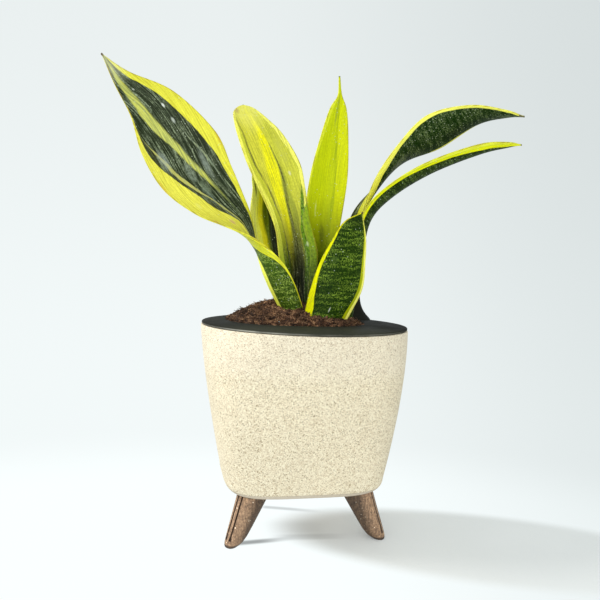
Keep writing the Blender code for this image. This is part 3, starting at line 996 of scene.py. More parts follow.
def bend(start: float, end: float, steps: int) -> list[tuple[float, float]]:
    """Reads a rounded edge of radius 1 at evenly spaced angles.

    Args:
        start: the first angle in degrees.
        end: the last.
        steps: how many steps lie between them.

    Returns:
        The inset and the rise at each angle.
    """
    angles = [math.radians(start + (end - start) * step / steps) for step in range(steps + 1)]
    return [(1.0 - math.cos(angle), math.sin(angle)) for angle in angles]


class Spline:
    """A smooth curve through points, read at places that are counted in points."""

    def __init__(self, points: Line | np.ndarray) -> None:
        """Keeps the points and the curve's slope at each.

        Args:
            points: one row per point.
        """
        self.points = np.array(points, float)
        self.slopes = np.empty_like(self.points)
        self.slopes[1:-1] = (self.points[2:] - self.points[:-2]) / 2.0
        self.slopes[0] = self.points[1] - self.points[0]
        self.slopes[-1] = self.points[-1] - self.points[-2]

    def read(self, places: np.ndarray) -> np.ndarray:
        """Reads the curve.

        Args:
            places: where to read it, from 0 at the first point.

        Returns:
            One row per place.
        """
        start = np.minimum(places.astype(int), len(self.points) - 2)
        t = (places - start)[:, None]
        return ((2 * t**3 - 3 * t**2 + 1) * self.points[start] + (t**3 - 2 * t**2 + t) * self.slopes[start]
                + (3 * t**2 - 2 * t**3) * self.points[start + 1] + (t**3 - t**2) * self.slopes[start + 1])


# Planter


@dataclass
class Pot:
    """The open shell: a rounded oblong foot that grows into an elliptical rim."""

    half_width: float = 65.0
    half_depth: float = 51.4
    rim: float = 126.1
    underside: float = 27.8
    bottom_share: float = 0.76
    wall_curve: float = 1.27
    bottom_exponent: float = 4.1
    rim_exponent: float = ROUND
    fillet: float = 8.2
    rim_round: float = 0.6
    wall: float = 3.0
    floor: float = 5.5
    inner_fillet: float = 4.0
    sides: int = 176
    wall_rings: int = 46
    inner_rings: int = 16
    fillet_steps: int = 14
    rim_steps: int = 4
    inner_steps: int = 5
    sharp: float = 60.0

    def ring(self, height: float, grow: float) -> np.ndarray:
        """Returns the wall's ring at a height.

        Args:
            height: the ring's level.
            grow: how far it lies outside the pot's face.

        Returns:
            The ring's points.
        """
        foot = self.underside + self.fillet
        rise = min(max((height - foot) / (self.rim - foot), 0.0), 1.0)
        share = self.bottom_share + (1.0 - self.bottom_share) * (1.0 - (1.0 - rise) ** self.wall_curve)
        exponent = self.bottom_exponent + (self.rim_exponent - self.bottom_exponent) * rise
        return oval((0, 0), self.half_width * share + grow, self.half_depth * share + grow,
                    exponent, height, self.sides)

    def foot_ring(self, inset: float, drop: float) -> np.ndarray:
        """Returns a ring on the rounded bottom edge.

        Args:
            inset: how far in it lies, as a share of the fillet.
            drop: how far below the fillet's top it lies, as a share of it.

        Returns:
            The ring's points.
        """
        half_width, half_depth = (half * self.bottom_share - self.fillet * inset
                                  for half in (self.half_width, self.half_depth))
        level = self.underside + self.fillet - self.fillet * drop
        return oval((0, 0), half_width, half_depth, self.bottom_exponent, level, self.sides)

    def build(self) -> Piece:
        """Builds the shell from its underside up the wall and down the inside.

        Returns:
            The dressed pot.
        """
        rings = [self.foot_ring(inset, drop) for inset, drop in bend(90.0, 0.0, self.fillet_steps)[:-1]]
        foot = self.underside + self.fillet
        head = self.rim - self.rim_round
        rings += [self.ring(level, 0.0) for level in np.linspace(foot, head, self.wall_rings)]
        rings += [self.ring(head + self.rim_round * rise, -self.rim_round * inset)
                  for inset, rise in bend(0.0, 90.0, self.rim_steps)[1:]]
        rings += [self.ring(head + self.rim_round * rise, self.rim_round * inset - self.wall)
                  for inset, rise in bend(90.0, 0.0, self.rim_steps)]
        low = self.underside + self.floor + self.inner_fillet
        rings += [self.ring(level, -self.wall) for level in np.linspace(head, low, self.inner_rings)[1:]]
        rings += [self.ring(low - self.inner_fillet * drop, -self.wall - self.inner_fillet * inset)
                  for inset, drop in bend(0.0, 90.0, self.inner_steps)[1:]]
        pot = Bench.rings("pot_body", rings)
        Bench.smooth(pot, self.sharp)
        Bench.dress(pot, SpeckledComposite().build())
        Bench.seat(pot, "speckled_composite", "pot")
        return pot


@dataclass
class Legs:
    """Three splayed fins with two grooves down their outer edge."""

    places: tuple[tuple[str, float, float], ...] = (
        ("leg_front_left", 213.0, 0.0), ("leg_front_right", 327.0, 0.0), ("leg_rear", 90.0, 11.0))
    outer_edge: Edge = ((0.0, 57.2), (2.2, 57.3), (10.0, 54.6), (27.5, 48.4))
    edge: float = 0.3
    sharp: float = 38.0

    def mark(self, leg: Piece, direction: float, inset: float) -> None:
        """Writes the attribute fin: place across, depth below the outer edge and height in millimetres.

        Args:
            leg: the leg.
            direction: the way it points in degrees.
            inset: how far in it stands from the corner legs.
        """
        points = np.array([vertex.co for vertex in leg.data.vertices]) / MM
        way = math.radians(direction)
        along = points[:, 0] * math.cos(way) + points[:, 1] * math.sin(way)
        across = points[:, 1] * math.cos(way) - points[:, 0] * math.sin(way)
        heights, reaches = np.array(self.outer_edge).T
        depth = np.interp(points[:, 2], heights, reaches) - inset - along
        Bench.write(leg, "fin", np.column_stack([across, depth, points[:, 2]]))

    def build(self) -> list[Piece]:
        """Rounds and dresses a copy of each leg.

        Returns:
            The legs.
        """
        finish = WoodComposite().build()
        made = []
        for name, direction, inset in self.places:
            leg = Bench.merged_copy(name, name + "_fin")
            Bench.modify(leg, "BEVEL", width=self.edge * MM, segments=2, limit_method="ANGLE",
                         angle_limit=math.radians(self.sharp), use_clamp_overlap=True)
            Bench.smooth(leg, self.sharp)
            self.mark(leg, direction, inset)
            Bench.dress(leg, finish)
            Bench.seat(leg, "wood_composite", name)
            made.append(leg)
        return made


@dataclass
class Liner:
    """The black insert: lip and domed collar, skirt, soil basket and filler neck."""

    pot: Pot
    opening_centre: tuple[float, float] = (-7.0, 2.0)
    opening_half_width: float = 43.0
    opening_half_depth: float = 31.0
    opening_exponent: float = 2.5
    opening_height: float = 129.3
    opening_edge: float = 0.3
    opening_drop: float = 0.25
    collar_rings: int = 22
    collar_span: tuple[float, float] = (0.92, 0.05)
    gap: float = 0.3
    lip_inset: float = 0.4
    lip_thickness: float = 1.5
    lip_round: float = 0.55
    lip_steps: tuple[int, int] = (4, 5)
    basket_wall: float = 1.6
    basket_floor: float = 66.0
    basket_taper: float = 0.8
    basket_outer_levels: tuple[float, ...] = (85.0, 105.0)
    basket_inner_levels: tuple[float, ...] = (126.0, 110.0, 90.0)
    skirt_depth: float = 5.0
    skirt_clearance: float = 0.6
    skirt_wall: float = 1.8
    skirt_sink: float = 0.4
    chamfer: float = 1.0
    drain_radius: float = 2.5
    drain_ring: float = 15.0
    drain_count: int = 6
    drain_sides: int = 24
    drain_span: tuple[float, float] = (-4.0, 3.0)  # the cutter's ends, from the basket's floor
    overcut: float = 3.0
    neck_centre: tuple[float, float] = (36.0, 26.5)
    neck_bore: float = 4.8
    neck_radius: float = 6.5
    neck_foot: float = 144.0
    neck_top: float = 152.0
    neck_round: float = 0.7
    neck_flare: Edge = ((15.4, 127.2), (13.8, 129.7), (11.3, 132.3), (9.0, 135.5), (7.4, 139.5))
    neck_rings: int = 26
    neck_steps: int = 5
    neck_sides: int = 72
    sides: int = 144
    sharp: float = 32.0

    def opening_ring(self, height: float, grow: float = 0.0) -> np.ndarray:
        """Returns a ring on the opening's outline.

        Args:
            height: the ring's level.
            grow: how far outside the outline it lies.

        Returns:
            The ring's points.
        """
        return oval(self.opening_centre, self.opening_half_width + grow, self.opening_half_depth + grow,
                    self.opening_exponent, height, self.sides)

    def basket_ring(self, height: float, grow: float) -> np.ndarray:
        """Returns a ring on the tapered basket.

        Args:
            height: the ring's level.
            grow: how far outside the basket's inner face it lies.

        Returns:
            The ring's points.
        """
        rise = (height - self.basket_floor) / (self.opening_height - self.basket_floor)
        share = self.basket_taper + (1.0 - self.basket_taper) * min(max(rise, 0.0), 1.0)
        return oval(self.opening_centre, self.opening_half_width * share + grow,
                    self.opening_half_depth * share + grow, self.opening_exponent, height, self.sides)

    def lip_ring(self, inset: float, height: float) -> np.ndarray:
        """Returns a ring that lies inside the pot's rim outline by an inset, at a height."""
        return oval((0, 0), self.pot.half_width - inset, self.pot.half_depth - inset,
                    self.pot.rim_exponent, height, self.sides)

    def collar_ring(self, share: float, height: float) -> np.ndarray:
        """Returns a ring between the opening, at share 0, and the lip's edge, at share 1."""
        inner = self.opening_ring(height)
        return inner + (self.lip_ring(self.lip_inset, height) - inner) * share

    def build(self) -> Piece:
        """Builds the shell, joins the neck to it and cuts the bore and the drain holes.

        Returns:
            The dressed liner.
        """
        low = self.pot.rim + self.gap
        high = low + self.lip_thickness
        skirt_outer = self.pot.wall + self.skirt_clearance
        skirt_inner = skirt_outer + self.skirt_wall
        skirt_foot = self.pot.rim - self.skirt_depth
        skirt_head = low - self.skirt_sink
        sole = self.basket_floor - self.basket_wall
        rings = [self.basket_ring(sole, self.basket_wall - self.chamfer)]
        rings += [self.basket_ring(level, self.basket_wall)
                  for level in (sole + self.chamfer, *self.basket_outer_levels, skirt_head)]
        rings += [self.lip_ring(skirt_inner, level) for level in (skirt_head, skirt_foot)]
        rings += [self.lip_ring(skirt_outer, level) for level in (skirt_foot, low)]
        for middle, start, steps in ((low + self.lip_round, -90.0, self.lip_steps[0]),
                                     (high - self.lip_round, 0.0, self.lip_steps[1])):
            rings += [self.lip_ring(self.lip_inset + self.lip_round * inset, middle + self.lip_round * rise)
                      for inset, rise in bend(start, start + 90.0, steps)]
        dome = self.opening_height - high
        rings += [self.collar_ring(share, high + dome * math.sin(math.pi / 2.0 * (1.0 - share)))
                  for share in np.linspace(*self.collar_span, self.collar_rings)]
        rings.append(self.opening_ring(self.opening_height, self.opening_edge))
        rings.append(self.opening_ring(self.opening_height - self.opening_drop))
        rings += [self.basket_ring(level, 0.0) for level in (*self.basket_inner_levels, self.basket_floor)]
        liner = Bench.rings("liner_insert", rings)
        Bench.combine(liner, self.neck(), "UNION")
        ends = (skirt_foot - self.overcut, self.neck_top + self.overcut)
        bore = Bench.rings("bore", [self.disc(self.neck_bore, level) for level in ends])
        Bench.combine(liner, bore, "DIFFERENCE")
        for step in range(self.drain_count):
            angle = 2.0 * math.pi * step / self.drain_count
            centre = (self.opening_centre[0] + self.drain_ring * math.cos(angle),
                      self.opening_centre[1] + self.drain_ring * math.sin(angle))
            hole = [oval(centre, self.drain_radius, self.drain_radius, ROUND, self.basket_floor + level,
                         self.drain_sides) for level in self.drain_span]
            Bench.combine(liner, Bench.rings("drain", hole), "DIFFERENCE")
        Bench.smooth(liner, self.sharp)
        Bench.dress(liner, BlackPlastic().build())
        Bench.seat(liner, "black_plastic", "liner")
        return liner

    def disc(self, radius: float, height: float) -> np.ndarray:
        """Returns a round ring on the neck's axis."""
        return oval(self.neck_centre, radius, radius, ROUND, height, self.neck_sides)

    def neck(self) -> Piece:
        """Builds the filler neck, a trumpet that rises from the collar.

        Returns:
            The solid neck.
        """
        line = np.array(self.neck_flare + ((self.neck_radius, self.neck_foot),))
        fine = Spline(line).read(np.linspace(0.0, len(line) - 1, self.neck_rings))
        rings = [self.disc(radius, height) for radius, height in fine]
        rings += [self.disc(self.neck_radius - self.neck_round * inset,
                            self.neck_top - self.neck_round * (1.0 - rise))
                  for inset, rise in bend(0.0, 90.0, self.neck_steps)]
        return Bench.rings("neck", rings)


# Soil


@dataclass(frozen=True)
class Litter:
    """One kind of small loose matter on the mound.

    The sizes are the smallest and the largest, a reach of 1 is the opening's edge, and sink
    is a share of the size. Pitch is how far, in radians, its shape's X axis strays from the
    level. A slim kind is squashed along its Y axis alone.
    """

    name: str
    count: int
    sizes: tuple[float, float]
    reach: float
    sink: float
    seed: int
    pitch: float = 1.5
    squash: tuple[float, float] = (0.7, 1.2)
    slim: bool = False


@dataclass
class Soil:
    """The mound of coir: a lumpy bed under loose crumbs, fibres and a little grit."""

    liner: Liner
    seed: int = 11
    mound: float = 12.0
    peak: tuple[float, float] = (-15.0, 8.0)
    exponent: float = 1.7
    lump: float = 0.6
    drop: float = 0.8
    inset: float = 0.9
    levels: tuple[float, ...] = (90.0, 115.0)
    rings: int = 46
    jitter: tuple[float, float] = (-0.55, 0.35)
    outer_jitter: float = 0.3
    sharp: float = 80.0
    litter_sharp: float = 50.0
    aligned: float = 0.85  # how far the outer litter lies along the edge
    crumb_jitter: tuple[float, float] = (0.7, 1.25)
    strand_bend: float = 0.22
    strand_radius: float = 0.022
    crumbs: Litter = Litter("soil_crumbs", 2600, (1.0, 3.2), 1.03, 0.1, 3)
    fibres: Litter = Litter("soil_fibres", 3000, (3.5, 10.0), 1.0, 0.04, 5, 0.16, (0.6, 1.5), slim=True)
    grit: Litter = Litter("soil_grit", 34, (0.5, 1.1), 1.12, 0.3, 8)

    def height(self, x: np.ndarray, y: np.ndarray, edge: np.ndarray) -> np.ndarray:
        """Returns the mound's height.

        Args:
            x: places along X.
            y: places along Y.
            edge: how far out each place lies, from 0 at the peak to 1 at the opening.

        Returns:
            The heights.
        """
        lumps = np.sin(0.55 * x + 1.3) * np.sin(0.48 * y) + 0.6 * np.sin(0.93 * x - 0.71 * y)
        return (self.liner.opening_height - self.drop + self.mound * (1.0 - edge**self.exponent)
                + self.lump * lumps * (1.0 - edge**4))

    def border(self) -> np.ndarray:
        """Returns the soil's outline at the opening."""
        return self.liner.basket_ring(self.liner.opening_height - self.drop, -self.inset)

    def spot(self, turn: np.ndarray, edge: np.ndarray) -> np.ndarray:
        """Finds places on the mound.

        Args:
            turn: places round the outline from 0 to 1.
            edge: how far out they lie.

        Returns:
            One row of X, Y and Z per place.
        """
        border = self.border()
        index = np.mod(turn * len(border), len(border))
        low = index.astype(int) % len(border)
        part = (index - np.floor(index))[:, None]
        rim = border[low] * (1.0 - part) + border[(low + 1) % len(border)] * part
        x = self.peak[0] + (rim[:, 0] - self.peak[0]) * edge
        y = self.peak[1] + (rim[:, 1] - self.peak[1]) * edge
        return np.column_stack([x, y, self.height(x, y, edge)])

    def bed(self) -> Piece:
        """Builds the lumpy body of soil that fills the basket.

        Returns:
            The dressed bed.
        """
        random = np.random.default_rng(self.seed)
        floor = self.liner.basket_floor + self.liner.gap
        top = self.liner.opening_height - self.drop
        rings = [self.liner.basket_ring(level, -self.liner.gap) for level in (floor, *self.levels, top - 1.0)]
        turn = np.arange(self.liner.sides) / self.liner.sides
        for step in range(self.rings):
            edge = 1.0 - step / self.rings
            ring = self.spot(turn, np.full(self.liner.sides, edge))
            ring[:, 2] += random.uniform(*self.jitter, len(ring)) * (1.0 if step else self.outer_jitter)
            rings.append(ring)
        bed = Bench.rings("soil_bed", rings)
        Bench.smooth(bed, self.sharp)
        Bench.dress(bed, Coir().build())
        Bench.seat(bed, "coir_soil", "soil")
        return bed

    def scatter(self, litter: Litter, points: np.ndarray, faces: list) -> Piece:
        """Strews copies of one small shape over the mound.

        Args:
            litter: the kind of matter.
            points: the shape's points, with its size near one.
            faces: the shape's faces.

        Returns:
            The piece with all copies.
        """
        random = np.random.default_rng(litter.seed)
        edges = np.sqrt(random.random(litter.count)) * litter.reach
        places = self.spot(random.random(litter.count), edges)
        sizes = random.uniform(*litter.sizes, litter.count)
        all_points, all_faces = [], []
        for index, (place, size, edge) in enumerate(zip(places, sizes, edges)):
            pitch = random.normal(0.0, litter.pitch)
            ring = math.atan2(place[1] - self.peak[1], place[0] - self.peak[0]) + 0.5 * math.pi
            way = ring + random.uniform(-0.5, 0.5) * math.pi * (1.0 - self.aligned * min(edge, 1.0))
            turn = Matrix.Rotation(way, 3, "Z") @ Matrix.Rotation(pitch, 3, "Y")
            turn = np.array(turn @ Matrix.Rotation(random.uniform(0.0, 2.0 * math.pi), 3, "X"))
            squash = random.uniform(*litter.squash, 1 if litter.slim else 3)
            if litter.slim:
                squash = (1.0, squash[0], 1.0)
            all_faces += [tuple(corner + len(points) * index for corner in face) for face in faces]
            all_points.append((points * size * squash) @ turn.T + place + (0.0, 0.0, size * litter.sink))
        mesh = bpy.data.meshes.new(litter.name)
        mesh.from_pydata(np.vstack(all_points) * MM, [], all_faces)
        piece = Bench.link(litter.name, mesh)
        Bench.smooth(piece, self.litter_sharp)
        return piece

    def crumb(self) -> tuple[np.ndarray, list]:
        """Shapes a small irregular crumb.

        Returns:
            Its points and faces.
        """
        Bench.clear()
        bpy.ops.mesh.primitive_ico_sphere_add(subdivisions=1, radius=0.5, location=(0, 0, 0))
        ball = bpy.context.object
        random = np.random.default_rng(self.seed)
        points = np.array([vertex.co for vertex in ball.data.vertices])
        points *= random.uniform(*self.crumb_jitter, (len(points), 1))
        faces = [tuple(face.vertices) for face in ball.data.polygons]
        bpy.data.objects.remove(ball)
        return points, faces

    def fibre(self) -> tuple[np.ndarray, list]:
        """Shapes a thin bent strand, one unit long.

        Returns:
            Its points and faces.
        """
        Bench.clear()
        bpy.ops.mesh.primitive_cylinder_add(vertices=3, radius=self.strand_radius, depth=1.0,
                                            location=(0, 0, 0), rotation=(0.0, math.pi / 2.0, 0.0))
        rod = bpy.context.object
        bpy.ops.object.transform_apply(location=False, rotation=True, scale=False)
        shell = bmesh.new()
        shell.from_mesh(rod.data)
        for at in (-0.25, 0.0, 0.25):
            bmesh.ops.bisect_plane(shell, geom=shell.verts[:] + shell.edges[:] + shell.faces[:],
                                   plane_co=(at, 0, 0), plane_no=(1, 0, 0))
        shell.to_mesh(rod.data)
        shell.free()
        points = np.array([vertex.co for vertex in rod.data.vertices])
        along = points[:, 0]
        taper = 1.0 - 1.2 * np.abs(along)
        middle = self.strand_bend * (0.25 - along**2) + 0.05 * np.sin(9.0 * along)
        points[:, 1] = middle + points[:, 1] * taper
        points[:, 2] += 0.06 * np.sin(6.0 * along + 1.0)
        faces = [tuple(face.vertices) for face in rod.data.polygons]
        bpy.data.objects.remove(rod)
        return points, faces

    def build(self) -> list[Piece]:
        """Builds the bed and everything loose on it.

        Returns:
            The dressed pieces.
        """
        strands = Coir("soil_fibre", (58, 35, 23), (110, 78, 54), (196, 156, 118), 1.0, 0.5)
        made = [self.bed()]
        for litter, shape, finish in ((self.crumbs, self.crumb(), Coir("soil_crumb", lift=0.9)),
                                      (self.fibres, self.fibre(), strands),
                                      (self.grit, self.crumb(), Grit())):
            piece = self.scatter(litter, *shape)
            Bench.dress(piece, finish.build())
            Bench.seat(piece, "coir_soil")
            made.append(piece)
        return made


# Leaves


@dataclass
class Leaf:
    """One leaf, drawn by its two margins from the soil to the tip."""

    node: str
    slot: str
    first: Line
    second: Line
    fold: tuple[float, ...]
    thickness: float
    inner: Skin
    outer: Skin
    rim: Rim = field(default_factory=Rim)
    columns: int = 30
    step: float = 1.7
    edge_thickness: float = 0.9
    edge_round: float = 0.5
    edge_share: float = 0.3  # the most of a half width that the round takes
    edge_step: float = 0.3  # share of the round outside its second column
    edge_least: float = 0.2  # share of the thickness left at the very edge
    root_depth: float = 12.0
    root_rows: tuple[float, ...] = (1.0, 0.6, 0.25)
    root_share: float = 0.8
    tip_half: float = 0.5
    thin_half: float = 5.0
    sharp: float = 75.0

    def places(self) -> np.ndarray:
        """Spaces the rows evenly along the leaf.

        Returns:
            Their places along the margins, counted in points.
        """
        middle = (np.array(self.first, float) + np.array(self.second, float)) / 2.0
        strides = np.linalg.norm(np.diff(middle, axis=0), axis=1)
        places = [0.0]
        for start, stride in enumerate(strides):
            rows = max(3, round(stride / self.step))
            places += [start + (row + 1) / rows for row in range(rows)]
        return np.array(places)

    def rows(self) -> Rows:
        """Lays out the rows from the hidden root to the tip.

        Returns:
            Each row's middle, half width, directions, fold, length so far and share.
        """
        places = self.places()
        first, second = Spline(self.first).read(places), Spline(self.second).read(places)
        centres = (first + second) / 2.0
        spans = second - first
        halves = np.linalg.norm(spans, axis=1) / 2.0
        across = spans / np.maximum(halves * 2.0, 1e-6)[:, None]
        across[-1] = across[-2]
        step = (centres[1] - centres[0]) / np.linalg.norm(centres[1] - centres[0])
        roots = [centres[0] - step * self.root_depth * part for part in self.root_rows]
        sizes = [halves[0] * (1.0 - (1.0 - self.root_share) * part) for part in self.root_rows]
        centres = np.vstack([roots, centres])
        halves = np.concatenate([sizes, np.maximum(halves, self.tip_half)])
        across = np.vstack([across[:1]] * len(roots) + [across])
        lengths = np.concatenate([[0.0], np.cumsum(np.linalg.norm(np.diff(centres, axis=0), axis=1))])
        along = np.gradient(centres, lengths, axis=0)
        along -= across * (along * across).sum(axis=1)[:, None]
        along /= np.linalg.norm(along, axis=1)[:, None]
        shares = np.concatenate([[0.0] * len(roots), places / places[-1]])
        fold = np.interp(shares, np.linspace(0.0, 1.0, len(self.fold)), self.fold)
        return {"centre": centres, "half": halves, "across": across, "facing": np.cross(along, across),
                "fold": fold, "length": lengths, "share": shares}

    def columns_of(self, half: np.ndarray) -> np.ndarray:
        """Places the columns, which stand close at the rounded margins.

        Args:
            half: each row's half width.

        Returns:
            Each row's places from -1 to 1.
        """
        inner = np.linspace(-1.0, 1.0, self.columns - 3)
        reach = np.minimum(self.edge_round / half, self.edge_share)[:, None]
        core = inner[None, :] * (1.0 - reach)
        near = 1.0 - reach * self.edge_step
        ends = np.ones_like(near)
        return np.hstack([-ends, -near, core, near, ends])

    def depths(self, rows: Rows, places: np.ndarray) -> np.ndarray:
        """Finds how thick the blade is.

        Args:
            rows: the blade's rows.
            places: each row's column places.

        Returns:
            The thickness in millimetres by row and column.
        """
        half = rows["half"][:, None]
        middle = self.thickness + (self.edge_thickness - self.thickness) * rows["share"][:, None]
        swell = (middle - self.edge_thickness) * (1.0 - places**2) * np.minimum(1.0, half / self.thin_half)
        inward = (1.0 - np.abs(places)) * half / np.minimum(self.edge_round, self.edge_share * half)
        rounded = np.sqrt(1.0 - (1.0 - np.minimum(inward, 1.0)) ** 2)
        return (self.edge_thickness + swell) * np.maximum(rounded, self.edge_least)

    def build(self) -> Piece:
        """Builds a closed blade with its own inner, outer and edge finish.

        Returns:
            The dressed leaf.
        """
        rows = self.rows()
        count = len(rows["half"])
        places = self.columns_of(rows["half"])
        half = rows["half"][:, None]
        sag = rows["fold"][:, None] * half * (1.0 - places**2)
        points = (rows["centre"][:, None, :] + (places * half)[..., None] * rows["across"][:, None, :]
                  - sag[..., None] * rows["facing"][:, None, :])
        Bench.clear()
        bpy.ops.mesh.primitive_grid_add(x_subdivisions=places.shape[1] - 1, y_subdivisions=count - 1,
                                        size=2.0, location=(0, 0, 0))
        leaf = bpy.context.object
        leaf.name = leaf.data.name = self.node + "_blade"
        start = np.array([vertex.co for vertex in leaf.data.vertices])
        column = np.rint((start[:, 0] + 1.0) / 2.0 * (places.shape[1] - 1)).astype(int)
        row = np.rint((start[:, 1] + 1.0) / 2.0 * (count - 1)).astype(int)
        leaf.data.vertices.foreach_set("co", (points[row, column] * MM).ravel())
        where, share = places[row, column], rows["share"][row]
        width = rows["half"][row]
        Bench.write(leaf, "blade", np.column_stack([where * width, rows["length"][row], share]))
        Bench.write(leaf, "reach", np.outer((1.0 - np.abs(where)) * width, (1.0, 0.0, 0.0)))
        self.inner.mark(leaf, "inner", share, width)
        self.outer.mark(leaf, "outer", share, width)
        group = leaf.vertex_groups.new(name="thickness")
        for index, depth in enumerate(self.depths(rows, places)[row, column]):
            group.add([index], float(depth / self.thickness), "REPLACE")
        Bench.dress(leaf, self.outer.build(self.node + "_outer", "outer", rows),
                    self.inner.build(self.node + "_inner", "inner", rows), self.rim.build(self.node + "_rim"))
        Bench.modify(leaf, "SOLIDIFY", thickness=self.thickness * MM, offset=0.0, vertex_group="thickness",
                     use_rim=True, material_offset=1, material_offset_rim=2)
        leaf.vertex_groups.clear()
        Bench.smooth(leaf, self.sharp)
        Bench.seat(leaf, self.slot, self.node)
        return leaf


YELLOW = (226, 222, 66)
MOSS = (100, 112, 4)
DARK = (32, 42, 20)
DEEP = (18, 44, 0)
# Painted shade: near-black green for a face that lies in deep shade.
SHADE_GREEN = (22, 32, 2)
PALE = (212, 218, 116)
DUSTY = (172, 186, 148)
MOTTLE = (138, 168, 56)


def trace(*numbers: int) -> Edge:
    """Returns a stripe's edge from its shares in thousandths and its places in hundredths, in turn."""
    return tuple((share / 1000.0, place / 100.0) for share, place in zip(numbers[0::2], numbers[1::2]))


def margin(place: float) -> Edge:
    """Returns a stripe's edge that keeps one place all the way."""
    return ((0.0, place), (1.0, place))


def banded(first: float, colour: Colour, second: float, strength: float = 0.5,
           low: Colour | None = None) -> Skin:
    """Returns a banded face of one colour between two yellow margins.

    Args:
        first: place of the first margin's inner edge.
        colour: the face's colour.
        second: place of the second margin's inner edge.
        strength: how pale the cross-bands are.
        low: the face's colour at the soil.

    Returns:
        The face.
    """
    lanes = (Lane(YELLOW, margin(first), 0.35), Lane(colour, margin(second), 0.35, low=low), Lane(YELLOW))
    return Skin(lanes, Marking.BANDS, MOTTLE, strength)


